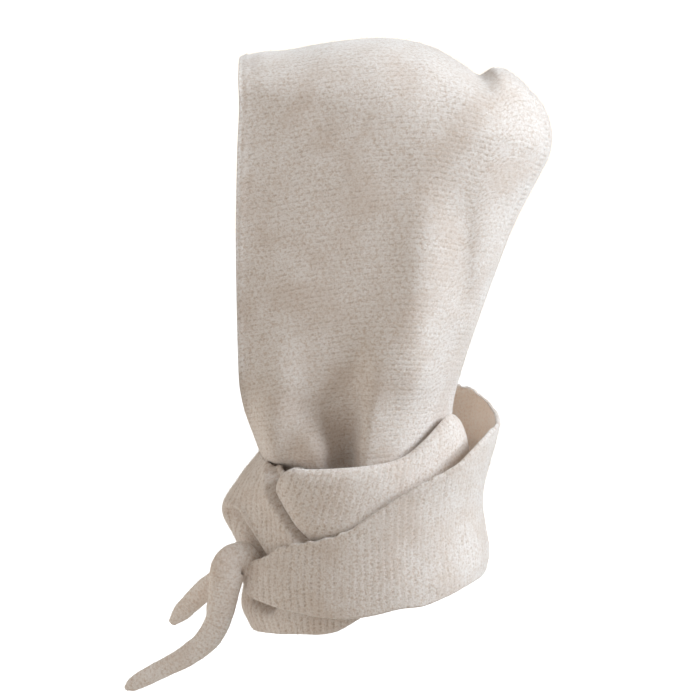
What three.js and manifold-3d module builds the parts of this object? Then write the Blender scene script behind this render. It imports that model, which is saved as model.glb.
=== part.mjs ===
// A knitted hood with its own scarf, which winds round the neck and is tied in front.
// Millimetres, +Z up. The face looks along -Y, and +X is the wearer's left.
// The origin is the seat of the crown: where the top of the head meets the inside of the hood.

import * as THREE from "three";
import { mergeGeometries, mergeVertices } from "three/addons/utils/BufferGeometryUtils.js";
import Module from "manifold-3d";

// Driving dimensions
const hoodDepth = 261;        // from the face opening to the slack rear corner
const hoodHeight = 350;       // from the crown to where the wraps begin
const hoodWidth = 176;        // across the widest part of the side panels
const neckWidth = 124;        // outside of the gathered hem
const neckDepth = 143;
const neckCentre = -14.5;     // the middle of the neck, behind the crown seat
const hemTuck = 54;           // hem hidden inside the wraps
const knit = 4;               // thickness of the knitted fabric
const rollThickness = 15;     // the folded inner wrap
const rollHeight = 93;        // its height at the side of the neck
const wrapHeight = 150;       // from the top of the wraps to the lowest hem of the scarf
const knotLength = 34;
const longTieLength = 160;
const longTieWidth = 27;
const shortTieLength = 78;
const shortTieWidth = 19;
const clearance = 0.35;       // air left between touching pieces
const cutClearance = 0.55;    // air round a piece where its neighbour is cut to fit it
const lapClearance = 1.05;    // air between the scarf's beginning and its own end under it

// Values worked out from the sizes
const crownTop = knit;
const neckTop = crownTop - hoodHeight;
const hemLevel = neckTop - hemTuck;
const halfWidth = hoodWidth / 2;
const neckHalfWidth = neckWidth / 2;
const neckHalfDepth = neckDepth / 2;
const fullTurn = 360;

// Seams and edges of one side panel, seen from the side.
// back is a share of hoodDepth behind the crown seat, up a share of hoodHeight from the crown.
const topSeam = [
  { back: -0.464, up: -0.045 },
  { back: -0.396, up: -0.033 },
  { back: -0.307, up: -0.029 },
  { back: -0.178, up: -0.010 },
  { back: -0.002, up: 0.000 },
  { back: 0.143, up: -0.019 },
  { back: 0.255, up: -0.066 },
  { back: 0.300, up: -0.088 },
  { back: 0.345, up: -0.070 },
  { back: 0.400, up: -0.081 },
  { back: 0.484, up: -0.138 },
];
const backSeam = [
  { back: 0.222, up: -0.990 },
  { back: 0.222, up: -0.884 },
  { back: 0.254, up: -0.788 },
  { back: 0.305, up: -0.671 },
  { back: 0.360, up: -0.555 },
  { back: 0.420, up: -0.439 },
  { back: 0.499, up: -0.324 },
  { back: 0.528, up: -0.278 },
  { back: 0.534, up: -0.225 },
  { back: 0.514, up: -0.173 },
  { back: 0.484, up: -0.138 },
];
const frontEdge = [
  { back: -0.332, up: -1.040 },
  { back: -0.384, up: -1.006 },
  { back: -0.408, up: -0.979 },
  { back: -0.434, up: -0.917 },
  { back: -0.452, up: -0.851 },
  { back: -0.461, up: -0.770 },
  { back: -0.465, up: -0.500 },
  { back: -0.458, up: -0.272 },
  { back: -0.452, up: -0.157 },
  { back: -0.464, up: -0.045 },
];

// Half width of the hood at a height, as shares of halfWidth.
const girth = [
  { up: -1.000, front: 0.70, middle: 0.80, rear: 0.72 },
  { up: -0.850, front: 0.76, middle: 0.86, rear: 0.76 },
  { up: -0.730, front: 0.80, middle: 0.93, rear: 0.84 },
  { up: -0.500, front: 0.84, middle: 1.00, rear: 0.96 },
  { up: -0.272, front: 0.83, middle: 0.99, rear: 1.00 },
  { up: 0.000, front: 0.80, middle: 0.93, rear: 0.92 },
];

// Folds of the side panels. Positive depth sinks, as a share of halfWidth; spreads are shares of
// hoodDepth towards the face and towards the back.
const nearFolds = [
  { from: [-0.100, -0.54], to: [-0.150, -1.12], ahead: 0.150, behind: 0.055, depth: 0.30, peak: 0.80 },
  { from: [0.300, -0.06], to: [0.205, -0.72], ahead: 0.060, behind: 0.060, depth: 0.10, peak: 0.30 },
  { from: [0.030, -0.52], to: [0.080, -0.98], ahead: 0.080, behind: 0.110, depth: -0.06, peak: 0.60 },
  { from: [-0.330, -0.60], to: [-0.330, -0.98], ahead: 0.100, behind: 0.080, depth: -0.07, peak: 0.65 },
];
const farFolds = [
  { from: [-0.080, -0.58], to: [-0.120, -1.12], ahead: 0.110, behind: 0.070, depth: 0.22, peak: 0.80 },
  { from: [0.300, -0.06], to: [0.225, -0.66], ahead: 0.060, behind: 0.060, depth: 0.11, peak: 0.30 },
  { from: [0.060, -0.56], to: [0.100, -0.98], ahead: 0.080, behind: 0.100, depth: -0.05, peak: 0.60 },
];
const crownRounding = { front: 0.38, rear: 0.86, reach: 0.62 };   // radii as shares of halfWidth
const backRounding = 0.92;
const seamBlend = 3;                                  // how softly the two roundings join
const foldSharpness = 2;
const neckBlend = { start: 0.07, rise: 0.30 };        // shares of hoodHeight round the top of the neck
const chinGap = 0.02;                                 // share of the hem left open under the chin

// The inner wrap: its top fold round the neck, as a share of rollHeight above neckTop.
const rollTop = [
  { turn: 0, top: -0.56 },
  { turn: 14, top: -0.50 },
  { turn: 25, top: -0.28 },
  { turn: 34, top: -0.11 },
  { turn: 44, top: -0.06 },
  { turn: 60, top: -0.04 },
  { turn: 96, top: 0.01 },
  { turn: 112, top: 0.07 },
  { turn: 125, top: 0.19 },
  { turn: 138, top: 0.32 },
  { turn: 149, top: 0.40 },
  { turn: 160, top: 0.37 },
  { turn: 174, top: 0.20 },
  { turn: 200, top: 0.10 },
  { turn: 260, top: 0.00 },
  { turn: 320, top: -0.30 },
  { turn: 360, top: -0.56 },
];

// Section of the inner wrap: out is a share of its thickness, up a share of its height.
const rollSection = [
  { out: 0.00, up: 0.00 },
  { out: 0.00, up: 0.50 },
  { out: 0.02, up: 0.90 },
  { out: 0.16, up: 0.97 },
  { out: 0.42, up: 1.00 },
  { out: 0.72, up: 0.97 },
  { out: 0.93, up: 0.90 },
  { out: 1.00, up: 0.76 },
  { out: 1.00, up: 0.40 },
  { out: 0.94, up: 0.00 },
];

// The scarf, from the knot round the near side, the back, the far side and the front, and then
// in under its own beginning. top and hem are shares of wrapHeight above neckTop. The other
// columns say how far the band stands off the inner wrap, as shares of rollThickness, from hem
// to rim.
const bandStations = [0, 0.12, 0.32, 0.50, 0.68, 0.85, 1];
const band = [
  { turn: 24, top: -0.575, hem: -0.744, stand: [1.40, 1.42, 1.42, 1.42, 1.42, 1.42, 1.38] },
  { turn: 30, top: -0.535, hem: -0.757, stand: [1.36, 1.40, 1.42, 1.42, 1.42, 1.40, 1.34] },
  { turn: 37, top: -0.497, hem: -0.776, stand: [1.18, 1.22, 1.25, 1.25, 1.25, 1.22, 1.18] },
  { turn: 46, top: -0.453, hem: -0.791, stand: [0.90, 0.95, 1.00, 1.00, 1.00, 0.97, 0.92] },
  { turn: 56, top: -0.420, hem: -0.806, stand: [0.58, 0.64, 0.70, 0.72, 0.70, 0.66, 0.60] },
  { turn: 66, top: -0.393, hem: -0.824, stand: [0.38, 0.46, 0.52, 0.54, 0.52, 0.46, 0.40] },
  { turn: 78, top: -0.347, hem: -0.828, stand: [0.32, 0.38, 0.42, 0.44, 0.42, 0.38, 0.34] },
  { turn: 92, top: -0.270, hem: -0.806, stand: [0.34, 0.38, 0.40, 0.40, 0.40, 0.38, 0.36] },
  { turn: 105, top: -0.190, hem: -0.772, stand: [0.46, 0.48, 0.42, 0.40, 0.44, 0.48, 0.52] },
  { turn: 118, top: -0.090, hem: -0.761, stand: [0.60, 0.62, 0.48, 0.42, 0.50, 0.66, 0.83] },
  { turn: 131, top: -0.016, hem: -0.723, stand: [0.68, 0.72, 0.54, 0.44, 0.58, 0.82, 1.06] },
  { turn: 145, top: 0.081, hem: -0.687, stand: [0.70, 0.78, 0.56, 0.44, 0.62, 0.92, 1.15] },
  { turn: 160, top: 0.142, hem: -0.671, stand: [0.70, 0.82, 0.58, 0.46, 0.68, 1.02, 1.26] },
  { turn: 180, top: 0.176, hem: -0.653, stand: [0.70, 0.86, 0.60, 0.50, 0.75, 1.14, 1.42] },
  { turn: 200, top: 0.268, hem: -0.653, stand: [0.70, 0.82, 0.60, 0.50, 0.78, 1.20, 1.46] },
  { turn: 221, top: 0.335, hem: -0.673, stand: [0.66, 0.76, 0.58, 0.48, 0.66, 1.00, 1.26] },
  { turn: 245, top: 0.300, hem: -0.710, stand: [0.56, 0.64, 0.54, 0.44, 0.52, 0.70, 0.86] },
  { turn: 270, top: 0.220, hem: -0.770, stand: [0.46, 0.54, 0.52, 0.46, 0.50, 0.58, 0.66] },
  { turn: 300, top: 0.120, hem: -0.870, stand: [0.40, 0.60, 0.66, 0.66, 0.80, 0.70, 0.52] },
  { turn: 325, top: 0.050, hem: -0.960, stand: [0.34, 0.74, 0.90, 1.08, 1.50, 1.14, 0.40] },
  { turn: 345, top: 0.005, hem: -1.015, stand: [0.26, 0.82, 1.04, 1.46, 2.14, 1.44, 0.24] },
  { turn: 362, top: -0.008, hem: -1.015, stand: [0.20, 0.82, 1.08, 1.66, 2.38, 1.58, 0.16] },
  { turn: 380, top: -0.055, hem: -0.990, stand: [0.14, 0.70, 1.08, 1.46, 1.92, 1.60, 0.86] },
  { turn: 398, top: -0.180, hem: -0.965, stand: [0.10, 0.46, 0.82, 1.04, 1.16, 1.00, 0.70] },
  { turn: 411, top: -0.320, hem: -0.950, stand: [0.06, 0.22, 0.40, 0.50, 0.56, 0.60, 0.60] },
  { turn: 428, top: -0.470, hem: -0.880, stand: [0.00, 0.04, 0.06, 0.06, 0.06, 0.06, 0.06] },
  { turn: 438, top: -0.530, hem: -0.820, stand: [0.00, 0.00, 0.00, 0.00, 0.00, 0.00, 0.00] },
  { turn: 452, top: -0.560, hem: -0.780, stand: [0.00, 0.00, 0.00, 0.00, 0.00, 0.00, 0.00] },
];

// Hollows of the scarf in front, where it is drawn in towards the knot. turn and up are their
// ends, as in the table above; wide is in shares of wrapHeight, depth in shares of rollThickness.
const hollowStart = 0.5;      // depth at a hollow's first end, as a share of its full depth
const bandHollows = [
  { from: [376, -0.180], to: [398, -0.480], wide: 0.055, depth: 0.95 },
  { from: [384, -0.500], to: [392, -0.640], wide: 0.110, depth: 0.70 },
];

// The two tie ends. side, reach and drop are shares of the tie's own length from the knot's
// middle, and wide a share of its own width.
const knotPlace = { turn: 23, out: 1.75, up: -0.575 };
const longTiePath = [
  { side: -0.003, reach: -0.033, drop: -0.019, wide: 0.70 },
  { side: 0.035, reach: 0.017, drop: -0.037, wide: 0.85 },
  { side: 0.060, reach: 0.073, drop: 0.010, wide: 0.96 },
  { side: 0.066, reach: 0.104, drop: 0.104, wide: 0.96 },
  { side: 0.060, reach: 0.116, drop: 0.221, wide: 0.89 },
  { side: 0.053, reach: 0.143, drop: 0.329, wide: 0.79 },
  { side: 0.047, reach: 0.201, drop: 0.415, wide: 0.74 },
  { side: 0.035, reach: 0.292, drop: 0.488, wide: 0.67 },
  { side: 0.022, reach: 0.398, drop: 0.550, wide: 0.61 },
  { side: 0.010, reach: 0.505, drop: 0.607, wide: 0.56 },
  { side: -0.003, reach: 0.591, drop: 0.658, wide: 0.43 },
  { side: -0.003, reach: 0.617, drop: 0.674, wide: 0.22 },
];
const shortTiePath = [
  { side: -0.134, reach: 0.091, drop: 0.010, wide: 0.90 },
  { side: -0.263, reach: 0.220, drop: 0.191, wide: 1.00 },
  { side: -0.442, reach: 0.454, drop: 0.408, wide: 1.00 },
  { side: -0.570, reach: 0.631, drop: 0.595, wide: 0.90 },
  { side: -0.647, reach: 0.750, drop: 0.726, wide: 0.76 },
  { side: -0.698, reach: 0.834, drop: 0.829, wide: 0.40 },
];
const knotShape = { side: 0.62, reach: 0.80, height: 1.00, lean: 20 };
const tieFlatness = 0.50;     // thickness of a tie as a share of its width

// How finely the shapes are divided
const panelColumns = 18;
const panelRows = 22;
const seamCrowding = { back: 0.65, crown: 0.50 };    // how far the divisions crowd at the seams
const traceSteps = 60;
const rollSteps = 40;
const bandSteps = 56;
const bandRows = 9;
const tieSteps = 16;
const tieSides = 10;
const knotColumns = 14;
const knotRows = 10;

const wasm = await Module();
wasm.setup();

function clamp(value, low, high) {
  return Math.min(Math.max(value, low), high);
}

function smoothStep(value) {
  const x = clamp(value, 0, 1);
  return x * x * (3 - 2 * x);
}

function round(share) {
  const x = 1 - clamp(share, 0, 1);
  return Math.sqrt(Math.max(1 - x * x, 0));
}

// The value at a key, on a smooth curve through a table's keys and values.
function along(keys, values, at) {
  const x = clamp(at, keys[0], keys[keys.length - 1]);
  let i = 0;
  while (i < keys.length - 2 && x > keys[i + 1]) i += 1;
  const slope = (k) => {
    const a = Math.max(k - 1, 0);
    const b = Math.min(k + 1, keys.length - 1);
    return (values[b] - values[a]) / (keys[b] - keys[a]);
  };
  const span = keys[i + 1] - keys[i];
  const u = (x - keys[i]) / span;
  const rise = values[i + 1] - values[i];
  const start = slope(i) * span;
  const end = slope(i + 1) * span;
  const cube = start + end - 2 * rise;
  const square = 3 * rise - 2 * start - end;
  return values[i] + u * (start + u * (square + u * cube));
}

function column(rows, name) {
  return rows.map((row) => row[name]);
}

function sideCurve(points) {
  return new THREE.SplineCurve(points.map(([y, z]) => new THREE.Vector2(y, z)));
}

function panelPoint(row) {
  return [row.back * hoodDepth, crownTop + row.up * hoodHeight];
}

// A grid of points as an open sheet; (columns, rows) run so that their cross product faces out.
function sheet(point, columns, rows) {
  const positions = [];
  for (let j = 0; j <= rows; j += 1) {
    for (let i = 0; i <= columns; i += 1) {
      positions.push(...point(i / columns, j / rows));
    }
  }
  const index = [];
  for (let j = 0; j < rows; j += 1) {
    for (let i = 0; i < columns; i += 1) {
      const a = j * (columns + 1) + i;
      const b = a + 1;
      const c = a + columns + 1;
      const d = c + 1;
      index.push(a, b, d, a, d, c);
    }
  }
  const geometry = new THREE.BufferGeometry();
  geometry.setAttribute("position", new THREE.Float32BufferAttribute(positions, 3));
  geometry.setIndex(index);
  return geometry;
}

function weld(geometry) {
  const merged = mergeVertices(geometry, 1e-3);
  const source = merged.index.array;
  const index = [];
  for (let i = 0; i < source.length; i += 3) {
    const [a, b, c] = [source[i], source[i + 1], source[i + 2]];
    if (a !== b && b !== c && c !== a) index.push(a, b, c);
  }
  merged.setIndex(index);
  return merged;
}

// An open sheet becomes a closed wall: the sheet is its outside, moved out by grow.
function thicken(open, wall, grow = 0) {
  const outer = weld(open);
  outer.computeVertexNormals();
  const count = outer.attributes.position.count;
  const place = new THREE.Vector3();
  const normal = new THREE.Vector3();
  const positions = [];
  for (const depth of [-grow, wall + grow]) {
    for (let i = 0; i < count; i += 1) {
      place.fromBufferAttribute(outer.attributes.position, i);
      normal.fromBufferAttribute(outer.attributes.normal, i);
      place.addScaledVector(normal, -depth);
      positions.push(place.x, place.y, place.z);
    }
  }
  const faces = Array.from(outer.index.array);
  const used = new Set();
  for (let i = 0; i < faces.length; i += 3) {
    for (let k = 0; k < 3; k += 1) {
      used.add(`${faces[i + k]},${faces[i + ((k + 1) % 3)]}`);
    }
  }
  const index = [...faces];
  for (let i = 0; i < faces.length; i += 3) {
    index.push(faces[i] + count, faces[i + 2] + count, faces[i + 1] + count);
    for (let k = 0; k < 3; k += 1) {
      const a = faces[i + k];
      const b = faces[i + ((k + 1) % 3)];
      if (!used.has(`${b},${a}`)) {
        index.push(b, a, a + count, b, a + count, b + count);
      }
    }
  }
  return closedGeometry(positions, index);
}

function closedGeometry(positions, index) {
  const geometry = new THREE.BufferGeometry();
  geometry.setAttribute("position", new THREE.Float32BufferAttribute(positions, 3));
  geometry.setIndex(index);
  return geometry;
}

// Rings of points become one closed body: joined to the first again, or with capped ends.
function loft(rings, isLoop) {
  const sides = rings[0].length;
  const positions = rings.flat(2);
  const index = [];
  const spans = isLoop ? rings.length : rings.length - 1;
  for (let j = 0; j < spans; j += 1) {
    const next = (j + 1) % rings.length;
    for (let i = 0; i < sides; i += 1) {
      const a = j * sides + i;
      const b = j * sides + ((i + 1) % sides);
      const c = next * sides + i;
      const d = next * sides + ((i + 1) % sides);
      index.push(a, b, d, a, d, c);
    }
  }
  if (!isLoop) {
    const last = (rings.length - 1) * sides;
    for (let i = 1; i < sides - 1; i += 1) {
      index.push(0, i + 1, i);
      index.push(last, last + i, last + i + 1);
    }
  }
  return closedGeometry(positions, index);
}

function toSolid(geometry) {
  const plain = new THREE.BufferGeometry();
  plain.setAttribute("position", geometry.attributes.position);
  plain.setIndex(geometry.index);
  const merged = mergeVertices(plain, 1e-4);
  const solid = new wasm.Manifold(new wasm.Mesh({
    numProp: 3,
    vertProperties: new Float32Array(merged.attributes.position.array),
    triVerts: new Uint32Array(merged.index.array),
  }));
  return solid;
}

function toGeometry(solid) {
  const mesh = solid.getMesh();
  return closedGeometry(Array.from(mesh.vertProperties), Array.from(mesh.triVerts));
}

// What is left of a piece after its neighbours' room is cut away, without loose slivers.
function clearOf(geometry, neighbours) {
  let solid = toSolid(geometry);
  for (const neighbour of neighbours) {
    solid = solid.subtract(toSolid(neighbour));
  }
  const pieces = solid.decompose();
  pieces.sort((a, b) => b.volume() - a.volume());
  return toGeometry(pieces[0]);
}

// Hood

const neckFront = neckCentre - neckHalfDepth;
const neckRear = neckCentre + neckHalfDepth;
const hemStart = chinGap * Math.PI;

function hemAngle(s) {
  return hemStart + (Math.PI - hemStart) * s;
}

function hemPoint(s) {
  const angle = hemAngle(s);
  return [neckCentre - neckHalfDepth * Math.cos(angle), hemLevel];
}

const topCurve = sideCurve(topSeam.map(panelPoint));
const backCurve = sideCurve([[neckRear, hemLevel], ...backSeam.map(panelPoint)]);
const frontCurve = sideCurve([hemPoint(0), [neckFront, (hemLevel + neckTop) / 2],
  ...frontEdge.map(panelPoint)]);
const topTrace = topCurve.getSpacedPoints(traceSteps);
const backTrace = backCurve.getSpacedPoints(traceSteps);

// Four edges fill the panel between them: s from face to back, t from hem to crown.
function panelPlace(s, t) {
  const low = hemPoint(s);
  const high = topCurve.getPointAt(s);
  const front = frontCurve.getPointAt(t);
  const rear = backCurve.getPointAt(t);
  const corners = [hemPoint(0), hemPoint(1), topCurve.getPointAt(0), topCurve.getPointAt(1)];
  const fill = (a, b, c, d, k) => {
    const ruled = (1 - t) * a + t * b + (1 - s) * c + s * d;
    const [p, q] = [corners[0][k], corners[1][k]];
    const [u, v] = k === 0 ? [corners[2].x, corners[3].x] : [corners[2].y, corners[3].y];
    return ruled - ((1 - s) * (1 - t) * p + s * (1 - t) * q + (1 - s) * t * u + s * t * v);
  };
  return [
    fill(low[0], high.x, front.x, rear.x, 0),
    fill(low[1], high.y, front.y, rear.y, 1),
  ];
}

function distanceTo(trace, y, z) {
  let nearest = Infinity;
  for (let i = 1; i < trace.length; i += 1) {
    const a = trace[i - 1];
    const b = trace[i];
    const [dy, dz] = [b.x - a.x, b.y - a.y];
    const u = clamp(((y - a.x) * dy + (z - a.y) * dz) / (dy * dy + dz * dz), 0, 1);
    nearest = Math.min(nearest, Math.hypot(y - a.x - u * dy, z - a.y - u * dz));
  }
  return nearest;
}

// free is 1 on the open hood and 0 where the neck is gathered, which takes the bulges out.
function foldDepth(folds, y, z, free) {
  let sum = 0;
  for (const fold of folds) {
    const [y0, z0] = [fold.from[0] * hoodDepth, crownTop + fold.from[1] * hoodHeight];
    const [y1, z1] = [fold.to[0] * hoodDepth, crownTop + fold.to[1] * hoodHeight];
    const length = Math.hypot(y1 - y0, z1 - z0);
    const u = ((y - y0) * (y1 - y0) + (z - z0) * (z1 - z0)) / (length * length);
    const across = y - (y0 + (y1 - y0) * u);
    const spread = hoodDepth * (across < 0 ? fold.ahead : fold.behind);
    const grow = smoothStep(u / fold.peak);
    const fade = 1 - 0.5 * smoothStep((u - fold.peak) / (1 - fold.peak));
    const depth = fold.depth < 0 ? fold.depth * free : fold.depth;
    sum += depth * grow * fade * Math.exp(-foldSharpness * (across / spread) ** 2);
  }
  return sum * halfWidth;
}

function panelWidth(s, t, y, z, folds) {
  const up = (z - crownTop) / hoodHeight;
  const keys = column(girth, "up");
  const stations = ["front", "middle", "rear"].map((name) => along(keys, column(girth, name), up));
  const full = along([0, 0.5, 1], stations, s) * halfWidth;
  const crownRadius = halfWidth * THREE.MathUtils.lerp(crownRounding.front, crownRounding.rear,
    smoothStep(s / crownRounding.reach));
  const overCrown = t === 1 ? 0 : distanceTo(topTrace, y, z) / crownRadius;
  const overBack = s === 1 ? 0 : distanceTo(backTrace, y, z) / (halfWidth * backRounding);
  if (overCrown === 0 || overBack === 0) return 0;
  const joined = (overCrown ** -seamBlend + overBack ** -seamBlend) ** (-1 / seamBlend);
  const gathered = neckHalfWidth * Math.sin(hemAngle(s));
  const start = neckTop - neckBlend.start * hoodHeight;
  const free = smoothStep((z - start) / (neckBlend.rise * hoodHeight));
  const smooth = THREE.MathUtils.lerp(gathered, full * round(joined), free);
  return smooth - foldDepth(folds, y, z, free) * Math.min(smooth / neckHalfWidth, 1);
}

// Even steps from 0 to 1, drawn closer together towards 1.
function crowded(share, crowding) {
  if (share === 1) return 1;
  return THREE.MathUtils.lerp(share, Math.sin((share * Math.PI) / 2), crowding);
}

function panel(side, folds) {
  const point = (s, t) => {
    const back = crowded(s, seamCrowding.back);
    const up = crowded(t, seamCrowding.crown);
    const [y, z] = panelPlace(back, up);
    return [side * panelWidth(back, up, y, z, folds), y, z];
  };
  if (side > 0) return sheet(point, panelColumns, panelRows);
  return sheet((s, t) => point(1 - s, t), panelColumns, panelRows);
}

function hoodShell(grow) {
  const both = mergeGeometries([panel(1, nearFolds), panel(-1, farFolds)]);
  return thicken(both, knit, grow);
}

// Round the neck: a turn of 0 is in front, 90 the near side, 180 the back.
function roundNeck(turn, out, z) {
  const angle = THREE.MathUtils.degToRad(turn);
  return [
    (neckHalfWidth + out) * Math.sin(angle),
    neckCentre - (neckHalfDepth + out) * Math.cos(angle),
    z,
  ];
}

// Inner wrap

function innerWrap(grow) {
  const rings = [];
  for (let step = 0; step < rollSteps; step += 1) {
    const turn = (fullTurn * step) / rollSteps;
    const top = neckTop + rollHeight * along(column(rollTop, "turn"), column(rollTop, "top"), turn);
    const foot = neckTop - rollHeight;
    rings.push(rollSection.map((row) => {
      const out = cutClearance - grow + row.out * (rollThickness + 2 * grow);
      const z = foot - grow + row.up * (top - foot + 2 * grow);
      return roundNeck(turn, out, z);
    }));
  }
  return loft(rings, true);
}

// Scarf

const rollSurface = cutClearance + rollThickness;

function hollowDepth(turn, up) {
  let sum = 0;
  const degreeLength = (Math.PI * (neckHalfDepth + rollThickness)) / (fullTurn / 2) / wrapHeight;
  for (const hollow of bandHollows) {
    const [a0, u0] = [hollow.from[0] * degreeLength, hollow.from[1]];
    const [a1, u1] = [hollow.to[0] * degreeLength, hollow.to[1]];
    const [da, du] = [a1 - a0, u1 - u0];
    const [pa, pu] = [turn * degreeLength - a0, up - u0];
    const u = clamp((pa * da + pu * du) / (da * da + du * du), 0, 1);
    const away = Math.hypot(pa - u * da, pu - u * du) / hollow.wide;
    sum += hollow.depth * THREE.MathUtils.lerp(hollowStart, 1, u) * Math.exp(-away * away);
  }
  return sum;
}

function bandRow(turn) {
  const turns = column(band, "turn");
  const stands = bandStations.map((_, k) => along(turns, band.map((row) => row.stand[k]), turn));
  return {
    top: along(turns, column(band, "top"), turn),
    hem: along(turns, column(band, "hem"), turn),
    stands,
  };
}

// How far the band's inside stands off the inner wrap at a height, given as a share of wrapHeight.
function bandStand(turn, up) {
  const row = bandRow(turn);
  const share = clamp((up - row.hem) / (row.top - row.hem), 0, 1);
  const stand = along(bandStations, row.stands, share) - hollowDepth(turn, up);
  return Math.max(stand * rollThickness, 0) + clearance;
}

const bandStart = band[0].turn;
const bandEnd = band[band.length - 1].turn;
const bandLap = 10;           // degrees past its end over which the scarf's beginning comes down
const bandSplit = 238;        // where the scarf's two nodes meet, on the far side

function bandPoint(s, t, first, last, grow) {
  const overrun = (grow / (neckHalfDepth + rollSurface)) * THREE.MathUtils.RAD2DEG;
  const turn = first - overrun + (last - first + 2 * overrun) * s;
  const row = bandRow(turn);
  const rise = row.top - row.hem + (2 * grow) / wrapHeight;
  const up = row.hem - grow / wrapHeight + rise * t;
  let inside = bandStand(turn, up);
  if (turn + fullTurn < bandEnd + bandLap) {
    inside = Math.max(inside, bandStand(turn + fullTurn, up) + knit + lapClearance);
  }
  return roundNeck(turn, rollSurface + inside + knit, neckTop + up * wrapHeight);
}

function scarfPart(first, last, grow) {
  const steps = Math.round((bandSteps * (last - first)) / (bandEnd - bandStart));
  return thicken(sheet((s, t) => bandPoint(s, t, first, last, grow), steps, bandRows), knit, grow);
}

const scarfBand = (grow) => scarfPart(bandStart, bandSplit, grow);
const scarfFront = (grow) => scarfPart(bandSplit, bandEnd, grow);

// Knot and ties

const knotMiddle = new THREE.Vector3(...roundNeck(
  knotPlace.turn,
  rollSurface + knotPlace.out * rollThickness,
  neckTop + knotPlace.up * wrapHeight,
));

function knotLump(grow) {
  const lump = new THREE.SphereGeometry(knotLength / 2 + grow, knotColumns, knotRows);
  lump.scale(knotShape.side, knotShape.reach, knotShape.height);
  lump.rotateX(THREE.MathUtils.degToRad(knotShape.lean));
  lump.translate(knotMiddle.x, knotMiddle.y, knotMiddle.z);
  lump.deleteAttribute("normal");
  lump.deleteAttribute("uv");
  return lump;
}

function tie(path, length, width, grow) {
  const centre = new THREE.CatmullRomCurve3(path.map((row) => new THREE.Vector3(
    knotMiddle.x + row.side * length,
    knotMiddle.y - row.reach * length,
    knotMiddle.z - row.drop * length,
  )));
  const keys = path.map((_, k) => k / (path.length - 1));
  const flatNormal = new THREE.Vector3(1, 0, 0);
  const rings = [];
  for (let step = 0; step <= tieSteps; step += 1) {
    const u = step / tieSteps;
    const middle = centre.getPoint(u);
    const tangent = centre.getTangent(u);
    const across = new THREE.Vector3().crossVectors(flatNormal, tangent).normalize();
    const thick = new THREE.Vector3().crossVectors(tangent, across).normalize();
    const halfBreadth = (along(keys, column(path, "wide"), u) * width) / 2 + grow;
    const halfThick = halfBreadth * tieFlatness + (1 - tieFlatness) * grow;
    const ring = [];
    for (let side = 0; side < tieSides; side += 1) {
      const angle = (2 * Math.PI * side) / tieSides;
      const point = middle.clone();
      point.addScaledVector(across, Math.cos(angle) * halfBreadth);
      point.addScaledVector(thick, Math.sin(angle) * halfThick);
      ring.push(point.toArray());
    }
    rings.push(ring);
  }
  return loft(rings, false);
}

// Assembly

const scarf = new THREE.Group();

function add(name, geometry, color, roughness) {
  const material = new THREE.MeshStandardMaterial({ color, roughness, metalness: 0 });
  const mesh = new THREE.Mesh(geometry, material);
  mesh.name = name;
  scarf.add(mesh);
}

const oatmeal = 0xcabfb2;
const oatmealDeep = 0xb9ab9c;
const woolRoughness = 0.95;

const longTie = (grow) => tie(longTiePath, longTieLength, longTieWidth, grow);
const shortTie = (grow) => tie(shortTiePath, shortTieLength, shortTieWidth, grow);

add("hood", hoodShell(0), oatmeal, woolRoughness);
add("inner_wrap", clearOf(innerWrap(0), [hoodShell(cutClearance)]), oatmealDeep, woolRoughness);
add("scarf_band", clearOf(scarfBand(0), [hoodShell(cutClearance)]), oatmeal, woolRoughness);
add("scarf_front", clearOf(scarfFront(0), [hoodShell(cutClearance), scarfBand(clearance)]), oatmeal,
  woolRoughness);

const scarfRoom = [scarfBand(cutClearance), scarfFront(cutClearance)];
add("knot", clearOf(knotLump(0), scarfRoom), oatmealDeep, woolRoughness);
add("long_tie", clearOf(longTie(0), [...scarfRoom, knotLump(cutClearance)]), oatmeal,
  woolRoughness);
add("short_tie", clearOf(shortTie(0), [...scarfRoom, knotLump(cutClearance),
  longTie(cutClearance)]), oatmealDeep, woolRoughness);

export default scarf;
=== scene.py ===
import math

import bpy
import numpy as np
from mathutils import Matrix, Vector


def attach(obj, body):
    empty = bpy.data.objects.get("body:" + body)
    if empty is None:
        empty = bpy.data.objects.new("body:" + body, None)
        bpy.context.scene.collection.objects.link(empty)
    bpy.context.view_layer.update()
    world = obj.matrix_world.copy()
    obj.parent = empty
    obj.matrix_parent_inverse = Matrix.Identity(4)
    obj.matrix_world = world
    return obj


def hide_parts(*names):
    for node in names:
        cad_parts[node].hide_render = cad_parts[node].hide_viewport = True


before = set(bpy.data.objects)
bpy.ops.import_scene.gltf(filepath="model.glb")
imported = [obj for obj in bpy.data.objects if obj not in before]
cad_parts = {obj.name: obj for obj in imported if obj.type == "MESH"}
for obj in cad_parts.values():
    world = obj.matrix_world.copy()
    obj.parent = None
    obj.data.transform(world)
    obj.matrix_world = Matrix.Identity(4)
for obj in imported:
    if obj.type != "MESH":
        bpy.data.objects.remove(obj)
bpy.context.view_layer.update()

# A knitted hood with its own scarf. Shapes are worked out in millimetres, in the CAD's frame:
# +Z up, the face looks along -Y, +X is the wearer's left, the origin is under the crown.
MM = 0.001
FULL_TURN = 2 * math.pi

# A pair of values for where a form comes in or goes out is its start and its reach.

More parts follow.
